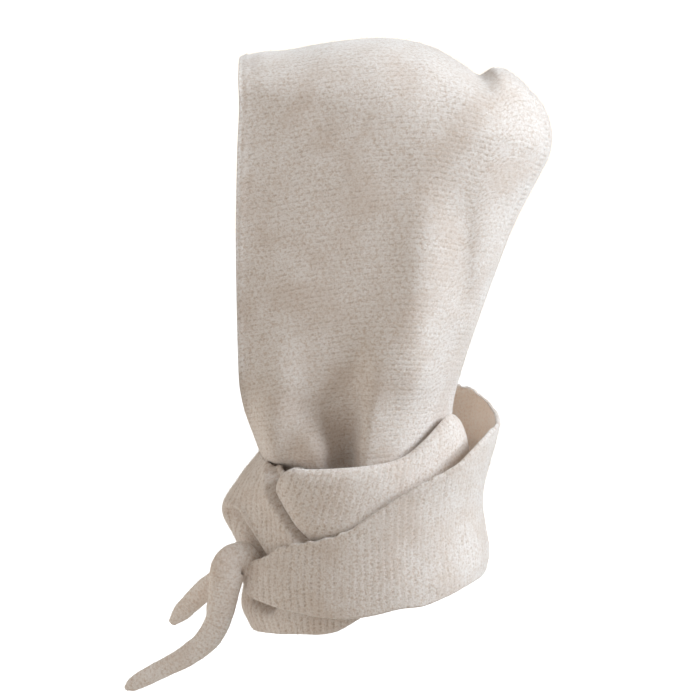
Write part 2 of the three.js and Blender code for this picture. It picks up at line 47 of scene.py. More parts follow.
# Driving dimensions, as in the part
HOOD_DEPTH = 261
HOOD_HEIGHT = 350
HOOD_WIDTH = 176
NECK_WIDTH = 124
NECK_DEPTH = 143
NECK_CENTRE = -14.5
HEM_TUCK = 54
KNIT = 4
ROLL_THICKNESS = 15
ROLL_HEIGHT = 93
WRAP_HEIGHT = 150
KNOT_LENGTH = 34
LONG_TIE_LENGTH = 160
LONG_TIE_WIDTH = 27
SHORT_TIE_LENGTH = 78
SHORT_TIE_WIDTH = 19
CLEARANCE = 0.35
CUT_CLEARANCE = 0.55
LAP_CLEARANCE = 1.05

CROWN_TOP = KNIT
NECK_TOP = CROWN_TOP - HOOD_HEIGHT
HEM_LEVEL = NECK_TOP - HEM_TUCK
HALF_WIDTH = HOOD_WIDTH / 2
NECK_HALF_WIDTH = NECK_WIDTH / 2
NECK_HALF_DEPTH = NECK_DEPTH / 2
NECK_FRONT = NECK_CENTRE - NECK_HALF_DEPTH
NECK_REAR = NECK_CENTRE + NECK_HALF_DEPTH
ROLL_SURFACE = CUT_CLEARANCE + ROLL_THICKNESS

# Seams and edges of one side panel: back is a share of HOOD_DEPTH, up a share of HOOD_HEIGHT
TOP_SEAM = [
    (-0.464, -0.045), (-0.396, -0.033), (-0.307, -0.029), (-0.178, -0.010), (-0.002, 0.000),
    (0.143, -0.019), (0.255, -0.066), (0.300, -0.088), (0.345, -0.070), (0.400, -0.081),
    (0.484, -0.138),
]
BACK_SEAM = [
    (0.222, -0.990), (0.222, -0.884), (0.254, -0.788), (0.305, -0.671), (0.360, -0.555),
    (0.420, -0.439), (0.499, -0.324), (0.528, -0.278), (0.534, -0.225), (0.514, -0.173),
    (0.484, -0.138),
]
FRONT_EDGE = [
    (-0.332, -1.040), (-0.384, -1.006), (-0.408, -0.979), (-0.434, -0.917), (-0.452, -0.851),
    (-0.461, -0.770), (-0.465, -0.500), (-0.458, -0.272), (-0.452, -0.157), (-0.464, -0.045),
]

# Half width of the hood at a height: up, front, middle and rear as shares of HALF_WIDTH
GIRTH = [
    (-1.000, 0.70, 0.80, 0.72),
    (-0.850, 0.76, 0.86, 0.76),
    (-0.730, 0.80, 0.93, 0.84),
    (-0.500, 0.84, 1.00, 0.96),
    (-0.272, 0.83, 0.99, 1.00),
    (0.000, 0.80, 0.93, 0.92),
]

# Folds of the side panels: from, to, ahead, ahead at the foot, behind, behind at the foot, depth,
# peak. A fold with a depth below 0 swells outwards.
NEAR_FOLDS = [
    ((-0.085, -0.50), (-0.126, -1.12), 0.230, 0.092, 0.120, 0.035, 0.37, 0.80),
    ((0.232, -0.24), (0.245, -0.80), 0.110, 0.110, 0.070, 0.060, 0.060, 0.50),
    ((0.140, -0.20), (0.060, -1.04), 0.100, 0.090, 0.130, 0.105, -0.066, 0.50),
    ((-0.330, -0.60), (-0.330, -0.98), 0.100, 0.100, 0.080, 0.080, -0.06, 0.65),
]
FAR_FOLDS = [
    ((-0.080, -0.58), (-0.120, -1.12), 0.110, 0.110, 0.090, 0.050, 0.22, 0.80),
    ((0.236, -0.16), (0.235, -0.70), 0.120, 0.120, 0.080, 0.060, 0.06, 0.42),
    ((0.060, -0.56), (0.100, -0.98), 0.080, 0.080, 0.100, 0.100, -0.05, 0.60),
]
FOLD_GROWTH = 1.6
FOLD_FADE = 0.5
FOLD_SHARPNESS = 2
NARROWING = (0.54, 0.25)
SWELL_HOLD = 0.3

# Away from the seam the crown's rounding follows this evener line, without the notch
CROWN_LINE = TOP_SEAM[:6] + [(0.235, -0.048), (0.320, -0.068), (0.410, -0.096)] + TOP_SEAM[-1:]
NOTCH_REACH = 34

# The cloth swells over the scarf under the chin, between a foot and a top beside the wraps' top
CHIN_SWELL = 16
CHIN_BACK = -99
CHIN_REACH = 16
CHIN_FOOT = (-13, 12)
CHIN_TOP = (10, 55)
CHIN_HOLD = 10

# The stitched line beside the back seam
SEAM_INSET = 7
SEAM_WIDTH = 1.7
SEAM_GROOVE = 2.6
SEAM_STITCH = 4.6
SEAM_LEAN = 0.9
SEAM_DASH = 0.35
SEAM_FOOT = (-190, 40)
SEAM_EASE = (1, -0.06)

# The rolled edge of the face opening
SELVEDGE_INSET = 3.2
SELVEDGE_WIDTH = 2.6
SELVEDGE_HEIGHT = 1.3
SELVEDGE_END = (0, 6)

# How the panels round over to their seams and close round the neck
CROWN_FRONT = 0.43
CROWN_REAR = 0.86
CROWN_REACH = 0.62
BACK_ROUNDING = 0.92
SEAM_BLEND = 3
NECK_BLEND_START = 0.07
NECK_BLEND_RISE = 0.30
CHIN_GAP = 0.02

# The inner wrap's top fold: turn round the neck, height as a share of ROLL_HEIGHT
ROLL_TOP = [
    (0, -0.56), (14, -0.50), (25, -0.28), (34, -0.11), (44, -0.06), (60, -0.04), (96, 0.01),
    (112, 0.07), (125, 0.19), (138, 0.32), (149, 0.40), (160, 0.37), (174, 0.20), (200, 0.10),
    (260, 0.00), (320, -0.30), (360, -0.56),
]
ROLL_SECTION = [
    (0.00, 0.00), (0.00, 0.50), (0.02, 0.90), (0.16, 0.97), (0.42, 1.00), (0.72, 0.97),
    (0.93, 0.90), (1.00, 0.76), (1.00, 0.40), (0.94, 0.00),
]

# The scarf: turn, top, hem, then how far it stands off the inner wrap from hem to rim
BAND_STATIONS = [0, 0.12, 0.32, 0.50, 0.68, 0.85, 1]
BAND = [
    (20.9, -0.640, -0.668, 0.40, 0.40, 0.40, 0.40, 0.40, 0.40, 0.40),
    (21.3, -0.622, -0.688, 0.94, 0.96, 0.96, 0.96, 0.96, 0.96, 0.94),
    (22.3, -0.605, -0.720, 1.34, 1.38, 1.40, 1.40, 1.40, 1.38, 1.34),
    (24.5, -0.587, -0.738, 1.50, 1.54, 1.56, 1.56, 1.56, 1.54, 1.48),
    (28, -0.566, -0.754, 1.46, 1.50, 1.54, 1.56, 1.54, 1.48, 1.40),
    (33, -0.540, -0.769, 1.30, 1.36, 1.40, 1.42, 1.40, 1.34, 1.24),
    (39, -0.505, -0.782, 1.10, 1.18, 1.22, 1.24, 1.22, 1.16, 1.06),
    (46, -0.466, -0.795, 0.88, 0.95, 1.00, 1.00, 1.00, 0.95, 0.88),
    (56, -0.437, -0.806, 0.62, 0.68, 0.74, 0.76, 0.74, 0.68, 0.62),
    (66, -0.408, -0.822, 0.44, 0.52, 0.58, 0.60, 0.58, 0.52, 0.46),
    (78, -0.362, -0.824, 0.36, 0.42, 0.46, 0.48, 0.46, 0.42, 0.38),
    (92, -0.264, -0.802, 0.34, 0.38, 0.40, 0.40, 0.40, 0.38, 0.36),
    (105, -0.166, -0.768, 0.46, 0.48, 0.42, 0.40, 0.44, 0.48, 0.52),
    (118, -0.080, -0.757, 0.60, 0.62, 0.48, 0.42, 0.50, 0.66, 0.83),
    (131, -0.020, -0.720, 0.68, 0.72, 0.54, 0.44, 0.58, 0.82, 1.06),
    (145, 0.070, -0.685, 0.70, 0.78, 0.56, 0.44, 0.62, 0.92, 1.15),
    (160, 0.142, -0.671, 0.70, 0.82, 0.58, 0.46, 0.68, 1.02, 1.26),
    (180, 0.176, -0.653, 0.70, 0.86, 0.60, 0.50, 0.75, 1.14, 1.42),
    (200, 0.268, -0.653, 0.70, 0.82, 0.60, 0.50, 0.78, 1.20, 1.46),
    (221, 0.335, -0.673, 0.66, 0.76, 0.58, 0.48, 0.66, 1.00, 1.26),
    (245, 0.300, -0.710, 0.56, 0.64, 0.54, 0.44, 0.52, 0.70, 0.86),
    (270, 0.220, -0.770, 0.46, 0.54, 0.52, 0.46, 0.50, 0.58, 0.66),
    (300, 0.120, -0.870, 0.40, 0.60, 0.66, 0.66, 0.80, 0.70, 0.52),
    (325, 0.050, -0.960, 0.34, 0.74, 0.94, 1.10, 1.50, 1.06, 0.36),
    (345, 0.005, -0.985, 0.50, 0.92, 0.92, 1.36, 2.10, 1.26, 0.20),
    (360, 0.000, -0.990, 0.66, 1.12, 0.94, 1.48, 2.24, 1.30, 0.05),
    (368, 0.000, -0.990, 0.68, 1.15, 0.96, 1.32, 1.94, 1.16, 0.02),
    (376, -0.008, -0.988, 0.62, 1.10, 0.98, 1.12, 1.34, 1.00, 0.00),
    (384, -0.030, -0.982, 0.50, 0.96, 0.84, 0.86, 0.88, 0.78, 0.00),
    (391, -0.052, -0.975, 0.36, 0.72, 0.68, 0.70, 0.70, 0.66, 0.05),
    (396, -0.090, -0.967, 0.30, 0.60, 0.60, 0.62, 0.62, 0.58, 0.15),
    (399, -0.160, -0.963, 0.26, 0.52, 0.52, 0.58, 0.58, 0.54, 0.20),
    (403, -0.236, -0.955, 0.20, 0.40, 0.42, 0.50, 0.54, 0.50, 0.25),
    (410, -0.325, -0.945, 0.12, 0.24, 0.28, 0.36, 0.44, 0.44, 0.25),
    (417, -0.420, -0.937, 0.05, 0.10, 0.12, 0.16, 0.26, 0.30, 0.15),
    (422, -0.462, -0.932, 0.02, 0.04, 0.05, 0.07, 0.11, 0.13, 0.07),
    (428, -0.500, -0.920, 0.00, 0.00, 0.00, 0.00, 0.00, 0.00, 0.00),
    (435, -0.523, -0.895, 0.00, 0.00, 0.00, 0.00, 0.00, 0.00, 0.00),
    (452, -0.560, -0.780, 0.00, 0.00, 0.00, 0.00, 0.00, 0.00, 0.00),
]
BAND_START = BAND[0][0]
BAND_END = BAND[-1][0]
BAND_LAP = 10

# Where the scarf lies under its own beginning: full thickness from this turn on, how firmly it is
# pressed, and how the pressing begins at the upper layer's top and foot
LAP_FULL = 24
LAP_PRESS = 0.8
LAP_EDGE = 0.02
LAP_EDGE_REACH = 0.045
LAP_FOOT = 0.03

# Hollows of the scarf in front: from, to, wide, depth
HOLLOW_START = 0.5
BAND_HOLLOWS = [
    ((384, -0.540), (392, -0.640), 0.100, 0.60),
    ((386, -0.775), (393, -0.795), 0.042, 1.10),
]

# The fold that runs from the chin to the outer wrap: height, turn of its crest. Then how it starts
# and ends round the neck, and how the cloth falls off past it.
FOLD_CREST = [
    (-0.620, 65), (-0.500, 57), (-0.403, 50.5), (-0.311, 44), (-0.222, 37), (-0.145, 32),
    (-0.085, 28), (0.000, 18),
]
FOLD_START = (1, 10)
FOLD_END = (60, -20)
FOLD_SWELL = 2.2
CREST_WIDTH = 5
CREST_TOP = (-0.02, -0.06)
FOLD_FALL = (0, 4.6)
FALL_FOOT = (-0.60, 0.10)
FOLD_DIP = 4.6
DIP_FOOT = (-0.50, 0.12)
DIP_AT_TOP = 0.75
DIP_TOP = (0, -0.06)

# The pocket's upper edge: turn, height
POCKET_LINE = [
    (-12, -0.320), (2, -0.300), (10, -0.297), (15.5, -0.305), (20.5, -0.370), (25, -0.440),
    (30, -0.507), (42, -0.640),
]
POCKET_DEPTH = 13
POCKET_EDGE = (0, 0.016)
POCKET_FLOOR = (0.02, 0.150)
POCKET_LIP = 1.8
LIP_WIDTH = 0.020

# The rounded end of the inner wrap, which lies over the scarf's fold: height, turn. Then its
# section, in mm: place along the cloth, place along the wrap, rise
WRAP_END = [
    (-440, 67), (-425, 62), (-408.6, 55), (-394.6, 48.8), (-381.9, 42.3), (-370.6, 36.6),
    (-362, 37.2), (-355, 40.2), (-350, 46), (-346, 56),
]
END_SECTION = [
    (-12, -12, -7.0), (-7, -4, -7.0), (-3.5, 4.5, -6.8), (-1.5, 6.0, -4.0), (0.5, 5.6, 0.0),
    (3, 0.8, 2.0), (5, -2.0, 4.6), (7, -0.4, 8.4), (10, 4.8, 11.0), (15, 15, 12.0),
]
WRAP_SWELL = [(40, 1.0), (52, 0.95), (66, 0.66), (80, 0.42), (95, 0.22), (115, 0.0)]
END_FROM = END_SECTION[0][0]
END_TO = END_SECTION[-1][0]
END_SLANT = 0.85
END_START = (0, 15)
END_CLEARANCE = 1.4
END_EDGE = 0.03
OPEN_ROOM = 99

# Where round the neck the columns of a wrap's mesh lie: share of the columns, turn
BAND_SPACING = [(0, BAND_START), (0.04, 30), (0.15, 75), (0.60, 345), (0.93, 425), (1, BAND_END)]
ROLL_SPACING = [(0, 0), (0.05, 20), (0.42, 80), (0.75, 180), (1, 360)]

# The ties: side, reach, drop, wide, as in the part but for the long tie's hidden root
KNOT_TURN = 23
KNOT_OUT = 1.75
KNOT_UP = -0.575
LONG_TIE = [
    (-0.080, -0.120, 0.086, 0.88),
    (-0.010, -0.052, 0.044, 0.98),
    (0.040, 0.022, -0.014, 1.08),
    (0.062, 0.072, 0.012, 1.10),
    (0.066, 0.093, 0.108, 0.98),
    (0.060, 0.112, 0.221, 0.89),
    (0.053, 0.143, 0.329, 0.79),
    (0.047, 0.201, 0.415, 0.74),
    (0.035, 0.292, 0.488, 0.67),
    (0.022, 0.398, 0.550, 0.61),
    (0.010, 0.505, 0.607, 0.56),
    (-0.003, 0.591, 0.658, 0.43),
    (-0.003, 0.617, 0.674, 0.22),
]
SHORT_TIE = [
    (-0.134, 0.091, 0.010, 0.90),
    (-0.263, 0.220, 0.191, 1.00),
    (-0.442, 0.454, 0.408, 1.00),
    (-0.570, 0.631, 0.595, 0.90),
    (-0.647, 0.750, 0.726, 0.76),
    (-0.698, 0.834, 0.829, 0.40),
]
KNOT_SIDE = 0.62
KNOT_REACH = 0.80
KNOT_LEAN = 20
KNOT_SPAN = 8
KNOT_ROUND = 3
KNOT_RISE = 1.6
TIE_FLATNESS = 0.50
TIE_ROUND = 0.38
TIE_CAP_LENGTH = 0.6
TIE_TIP = 0.02

# The knit: pitches along and across it, how far its courses stand out, and how evenly
HOOD_COURSE = 4.5
HOOD_STITCH = 6.4
HOOD_RIDGE = 0.07
HOOD_EVENNESS = 0.7
SCARF_COURSE = 5.4
SCARF_STITCH = 3.4
SCARF_RIDGE = 0.16
SCARF_EVENNESS = 0.8
TIE_COURSE = 4.2
TIE_RIDGE = 0.08
ROLL_LEAN = 0.28
RIM_BULGE = 0.35

# The part of the inner wrap that shows: from this height, and from this share of its thickness
SHOWN_HEIGHT = (0.2, 0.3)
SHOWN_SIDE = 0.3

# Unevenness of the cloth in layers of noise: height, size of a lump, seed
HOOD_LUMPS = [(0.9, 46, 0), (0.5, 21, 1)]
HOOD_WOBBLE = [(0.9, 34, 2), (0.35, 12, 3)]
HOOD_WEAR = [(0.6, 8, 4)]
ROLL_LUMPS = [(0.8, 34, 32)]
ROLL_WOBBLE = [(0.8, 20, 31)]
ROLL_WEAR = [(0.6, 6, 33)]
SCARF_LUMPS = [(0.7, 40, 45), (0.4, 17, 46)]
SCARF_WOBBLE = [(0.9, 26, 43), (0.3, 9, 44)]
SCARF_WEAR = [(0.6, 6, 47)]
KNOT_LUMPS = [(0.05, 6, 51)]
TIE_LUMPS = [(0.05, 9, 0)]
EDGE_WAVES = [(0.9, 9, 41), (0.7, 4, 42), (0.5, 2.4, 48)]
EDGE_WAVE_START = (0.7, 0.3)

# Finenesses of the meshes
CURVE_STEPS = 60
NOISE_SIZE = 64
HOOD_COLUMNS = 92
HOOD_ROWS = 384
HOOD_STRIDE = 2
COLUMN_CROWDING = 0.65
ROW_CROWDING = 0.30
COURSE_EVENING = 34
EVENING_SHARPNESS = 2.2
ROLL_COLUMNS = 560
ROLL_ROWS = 84
ROLL_CROWDING = 0.3
ROLL_SMOOTHING = 3
BAND_COLUMNS = 720
BAND_ROWS = 72
BAND_STRIDE = 4
KNOT_COLUMNS = 96
KNOT_ROWS = 60
LONG_TIE_ROWS = 150
SHORT_TIE_ROWS = 80
TIE_SIDES = 64
TIE_CAP = 9
FIBRE_RADIUS = 0.08
LOOP_STEPS = 8

# Millimetres of cloth to one unit of the knit's coordinates
UV_UNIT = 100


# Curves and noise

def smooth_step(value):
    x = np.clip(value, 0, 1)
    return x * x * (3 - 2 * x)


def ease(value, span):
    """From 0 at the span's start to 1 past its reach, which is below 0 where a form ends."""
    start, reach = span
    return smooth_step((value - start) / reach)


def rounding(share):
    x = 1 - np.clip(share, 0, 1)
    return np.sqrt(np.maximum(1 - x * x, 0))


def mix(a, b, share):
    return a + (b - a) * share


def along(keys, values, at):
    """The value at each key, on a smooth curve through a table's keys and values."""
    keys = np.asarray(keys, float)
    values = np.asarray(values, float)
    x = np.clip(at, keys[0], keys[-1])
    i = np.clip(np.searchsorted(keys, x, side="right") - 1, 0, len(keys) - 2)
    before = np.maximum(np.arange(len(keys)) - 1, 0)
    after = np.minimum(np.arange(len(keys)) + 1, len(keys) - 1)
    gap = (keys[after] - keys[before]).reshape([-1] + [1] * (values.ndim - 1))
    slope = (values[after] - values[before]) / gap

    def pick(table, k):
        if table.ndim == 1:
            return table[k]
        return np.take_along_axis(table, k[None, ...], 0)[0]

    span = keys[i + 1] - keys[i]
    u = (x - keys[i]) / span
    low = pick(values, i)
    rise = pick(values, i + 1) - low
    start = pick(slope, i) * span
    end = pick(slope, i + 1) * span
    cube = start + end - 2 * rise
    square = 3 * rise - 2 * start - end
    return low + u * (start + u * (square + u * cube))


def column(rows, k):
    return [row[k] for row in rows]


def read(table, at, k=1):
    """A table's column k where its first column reaches a value."""
    return along(column(table, 0), column(table, k), at)


def cubic(start, end, leave, arrive, w):
    return ((2 * start - 2 * end + leave + arrive) * w ** 3
            + (-3 * start + 3 * end - 2 * leave - arrive) * w ** 2 + leave * w + start)


def edge_curve(points):
    """A smooth plane curve through points, as a function of the share of its length."""
    p = np.asarray(points, float)
    last = len(p) - 1
    place = np.linspace(0, last, CURVE_STEPS * last + 1)
    i = np.minimum(place.astype(int), last - 1)
    w = (place - i)[:, None]
    before, start, end, after = (p[np.clip(i + k, 0, last)] for k in (-1, 0, 1, 2))
    xy = cubic(start, end, (end - before) / 2, (after - start) / 2, w)
    step = np.hypot(*np.diff(xy, axis=0).T)
    length = np.concatenate([[0], np.cumsum(step)])

    def at(share):
        target = np.asarray(share) * length[-1]
        return np.interp(target, length, xy[:, 0]), np.interp(target, length, xy[:, 1])

    return at


def noise(x, y, cell, seed):
    """Smooth noise from -1 to 1, with lumps of about one cell."""
    table = np.random.RandomState(seed).uniform(-1, 1, (NOISE_SIZE, NOISE_SIZE))
    gx = np.asarray(x) / cell
    gy = np.asarray(y) / cell
    ix = np.floor(gx).astype(int)
    iy = np.floor(gy).astype(int)
    wx = smooth_step(gx - ix)
    wy = smooth_step(gy - iy)

    def corner(dx, dy):
        return table[(ix + dx) % NOISE_SIZE, (iy + dy) % NOISE_SIZE]

    low = mix(corner(0, 0), corner(1, 0), wx)
    high = mix(corner(0, 1), corner(1, 1), wx)
    return mix(low, high, wy)


def waves(x, y, layers, seed=0):
    return sum(height * noise(x, y, cell, seed + own) for height, cell, own in layers)


def courses(place, pitch, height, evenness=1, wear=0):
    """The courses of the knit as waves, which stand out less where the cloth is worn."""
    return height * np.sin(FULL_TURN * place / pitch) * (evenness + wear)


def bell(place, width):
    return np.exp(-(place / width) ** 2)


# Meshes

def in_scene(name, data):
    made = bpy.data.objects.new(name, data)
    bpy.context.scene.collection.objects.link(made)
    return made


def mesh_piece(name, points, faces, uvs, uv_faces, lining=(0, 0)):
    """A smooth piece. The faces from lining[0] up to lining[1] take the second material."""
    mesh = bpy.data.meshes.new(name)
    mesh.from_pydata((np.asarray(points) * MM).tolist(), [], faces)
    layer = mesh.uv_layers.new(name="Knit")
    order = np.concatenate([np.asarray(f) for f in uv_faces])
    layer.data.foreach_set("uv", np.asarray(uvs)[order].astype(np.float32).ravel())
    mesh.polygons.foreach_set("use_smooth", [True] * len(mesh.polygons))
    slots = np.zeros(len(mesh.polygons), np.int32)
    slots[lining[0]:lining[1]] = 1
    mesh.polygons.foreach_set("material_index", slots)
    mesh.update()
    return in_scene(name, mesh)


def knit_place(across, up):
    return np.stack([across / UV_UNIT, up / UV_UNIT], -1).reshape(-1, 2)


def grid_numbers(rows, cols, first=0):
    return first + np.arange(rows * cols).reshape(rows, cols)


def round_numbers(rows, cols, first=0):
    """Vertex numbers of closed rings, each ending with its first again."""
    index = grid_numbers(rows, cols, first)
    return np.concatenate([index, index[:, :1]], 1)


def every(stride):
    return (slice(None, None, stride), slice(None, None, stride))


def quads(index, flip=False):
    """Faces over a grid of vertex numbers, rows by columns."""
    a = index[:-1, :-1].ravel()
    b = index[:-1, 1:].ravel()
    c = index[1:, 1:].ravel()
    d = index[1:, :-1].ravel()
    order = (d, c, b, a) if flip else (a, b, c, d)
    return np.stack(order, 1).tolist()


def unit(vectors):
    size = np.linalg.norm(vectors, axis=-1, keepdims=True)
    return vectors / np.maximum(size, 1e-9)


def vertex_normals(points, faces):
    f = np.asarray(faces)
    cross = np.cross(points[f[:, 2]] - points[f[:, 0]], points[f[:, 3]] - points[f[:, 1]])
    total = np.zeros_like(points)
    for k in range(4):
        np.add.at(total, f[:, k], cross)
    return unit(total)


def rim(outer, inner, stride, middle, flip):
    """Faces that join an outer edge to an inner one with fewer points, over a middle row."""
    faces = []
    for k in range(len(outer) - 1):
        face = [outer[k], outer[k + 1], middle[k + 1], middle[k]]
        faces.append(face[::-1] if flip else face)
    for k in range(len(inner) - 1):
        span = list(middle[k * stride:(k + 1) * stride + 1])
        face = span + [inner[k + 1], inner[k]]
        faces.append(face[::-1] if flip else face)
    return faces


def close_edges(edges, stride, outer, normal, points, faces, uv_faces):
    """Round the cloth's edges off, between its outer and inner side."""
    count = sum(len(part) for part in points)
    for edge, inside, inner_edge, uv_edge, flip in edges:
        out = unit(outer[edge] - outer[inside])
        points.append(outer[edge] + out * KNIT * RIM_BULGE - normal[edge] * KNIT * 0.5)
        middle = (count + np.arange(len(edge))).tolist()
        count += len(edge)
        faces += rim(edge.tolist(), inner_edge.tolist(), stride, middle, flip)
        place = uv_edge.tolist()
        uv_faces += rim(place, place[::stride], stride, place, flip)


# Hood

def panel_point(row):
    return (row[0] * HOOD_DEPTH, CROWN_TOP + row[1] * HOOD_HEIGHT)


HEM_START = CHIN_GAP * math.pi


def hem_angle(s):
    return HEM_START + (math.pi - HEM_START) * s


def hem_place(s):
    return NECK_CENTRE - NECK_HALF_DEPTH * np.cos(hem_angle(s)), HEM_LEVEL


top_curve = edge_curve([panel_point(row) for row in TOP_SEAM])
crown_line = edge_curve([panel_point(row) for row in CROWN_LINE])
back_curve = edge_curve([(NECK_REAR, HEM_LEVEL)] + [panel_point(row) for row in BACK_SEAM])
front_curve = edge_curve([hem_place(0), (NECK_FRONT, (HEM_LEVEL + NECK_TOP) / 2)]
                         + [panel_point(row) for row in FRONT_EDGE])


def panel_place(s, t):
    """Four edges fill the panel between them: s from face to back, t from hem to crown."""
    low = hem_place(s)
    high = top_curve(s)
    front = front_curve(t)
    rear = back_curve(t)
    start = (hem_place(0), top_curve(0))
    end = (hem_place(1), top_curve(1))
    filled = []
    for k in range(2):
        ruled = (1 - t) * low[k] + t * high[k] + (1 - s) * front[k] + s * rear[k]
        corners = ((1 - s) * (1 - t) * start[0][k] + s * (1 - t) * end[0][k]
                   + (1 - s) * t * start[1][k] + s * t * end[1][k])
        filled.append(ruled - corners)
    return filled


def distance_to(curve, y, z):
    cy, cz = curve(np.linspace(0, 1, CURVE_STEPS + 1))
    nearest = np.full(y.shape, np.inf)
    for k in range(CURVE_STEPS):
        dy = cy[k + 1] - cy[k]
        dz = cz[k + 1] - cz[k]
        u = np.clip(((y - cy[k]) * dy + (z - cz[k]) * dz) / (dy * dy + dz * dz), 0, 1)
        nearest = np.minimum(nearest, np.hypot(y - cy[k] - u * dy, z - cz[k] - u * dz))
    return nearest


def fold_depth(folds, y, z, free):
    total = np.zeros_like(y)
    for start, end, ahead, ahead_foot, behind, behind_foot, depth, peak in folds:
        y0, z0 = panel_point(start)
        y1, z1 = panel_point(end)
        length = math.hypot(y1 - y0, z1 - z0)
        u = ((y - y0) * (y1 - y0) + (z - z0) * (z1 - z0)) / (length * length)
        across = y - (y0 + (y1 - y0) * u)
        narrowed = mix(behind, behind_foot, smooth_step(u / peak))
        closing = mix(ahead, ahead_foot, ease(u, NARROWING))
        spread = HOOD_DEPTH * np.where(across < 0, closing, narrowed)
        grow = smooth_step(u / peak) ** FOLD_GROWTH
        fade = 1 - FOLD_FADE * smooth_step((u - peak) / (1 - peak))
        deep = depth * np.maximum(free, SWELL_HOLD) if depth < 0 else depth
        total += deep * grow * fade * np.exp(-FOLD_SHARPNESS * (across / spread) ** 2)
    return total * HALF_WIDTH


def panel_width(s, t, y, z, folds):
    up = (z - CROWN_TOP) / HOOD_HEIGHT
    stations = np.stack([read(GIRTH, up, k) for k in (1, 2, 3)])
    full = along([0, 0.5, 1], stations, s) * HALF_WIDTH
    radius = HALF_WIDTH * mix(CROWN_FRONT, CROWN_REAR, smooth_step(s / CROWN_REACH))
    to_seam = distance_to(top_curve, y, z)
    to_line = distance_to(crown_line, y, z)
    to_crown = mix(to_seam, to_line, smooth_step(to_seam / NOTCH_REACH))
    over_crown = np.maximum(to_crown / radius, 1e-6)
    over_back = np.maximum(distance_to(back_curve, y, z) / (HALF_WIDTH * BACK_ROUNDING), 1e-6)
    joined = (over_crown ** -SEAM_BLEND + over_back ** -SEAM_BLEND) ** (-1 / SEAM_BLEND)
    gathered = NECK_HALF_WIDTH * np.sin(hem_angle(s))
    start = NECK_TOP - NECK_BLEND_START * HOOD_HEIGHT
    free = smooth_step((z - start) / (NECK_BLEND_RISE * HOOD_HEIGHT))
    smooth = mix(gathered, full * rounding(joined), free)
    width = smooth - fold_depth(folds, y, z, free) * np.minimum(smooth / NECK_HALF_WIDTH, 1)
    above = z - NECK_TOP
    chin = bell(y - CHIN_BACK, CHIN_REACH) * ease(above, CHIN_FOOT)
    chin = chin * (1 - ease(above, CHIN_TOP))
    width = width + CHIN_SWELL * chin * np.minimum(smooth / CHIN_HOLD, 1)
    return np.where((s >= 1) | (t >= 1), 0, width)


def crowded(share, crowding):
    return mix(share, np.sin(share * math.pi / 2), crowding)


def hood_panel(side, folds):
    s, t = np.meshgrid(np.linspace(0, 1, HOOD_COLUMNS + 1), np.linspace(0, 1, HOOD_ROWS + 1))
    s = crowded(s, COLUMN_CROWDING)
    t = crowded(t, ROW_CROWDING)
    y, z = panel_place(s, t)
    x = side * panel_width(s, t, y, z, folds)
    return np.stack([x, y, z], -1), s


def column_lengths(grid):
    """Length up each column of a grid, evened out over its neighbours, for the run of the knit."""
    cols = grid.shape[1]
    rise = np.linalg.norm(np.diff(grid, axis=0), axis=-1)
    up = np.concatenate([np.zeros((1, cols)), np.cumsum(rise, 0)])
    reach = np.arange(-COURSE_EVENING, COURSE_EVENING + 1)
    weight = np.exp(-0.5 * (reach / (COURSE_EVENING / EVENING_SHARPNESS)) ** 2)
    padded = np.pad(up, ((0, 0), (COURSE_EVENING, COURSE_EVENING)), mode="edge")
    return sum(w * padded[:, k:k + cols] for k, w in enumerate(weight)) / weight.sum()


def hood_relief(grid, share, side, up, wobble, seed):
    """How far the outer side stands off the panel: lumps, courses, rolled edge and seam line."""
    wear = waves(side, up, HOOD_WEAR, seed)
    ridge = courses(up + wobble, HOOD_COURSE, HOOD_RIDGE, HOOD_EVENNESS, wear)
    ridge = ridge * ease(side, SELVEDGE_END)
    selvedge = SELVEDGE_HEIGHT * bell(side - SELVEDGE_INSET, SELVEDGE_WIDTH)
    from_back = distance_to(back_curve, grid[..., 1], grid[..., 2])
    stitch = np.sin(FULL_TURN * (up + SEAM_LEAN * from_back) / SEAM_STITCH)
    dashes = 1 - SEAM_DASH + SEAM_DASH * stitch
    groove = bell(from_back - SEAM_INSET, SEAM_WIDTH) * dashes
    groove = SEAM_GROOVE * groove * ease(grid[..., 2], SEAM_FOOT)
    held = ease(share, SEAM_EASE)
    held[-1] = 0
    return waves(side, up, HOOD_LUMPS, seed) * held + ridge + selvedge - groove


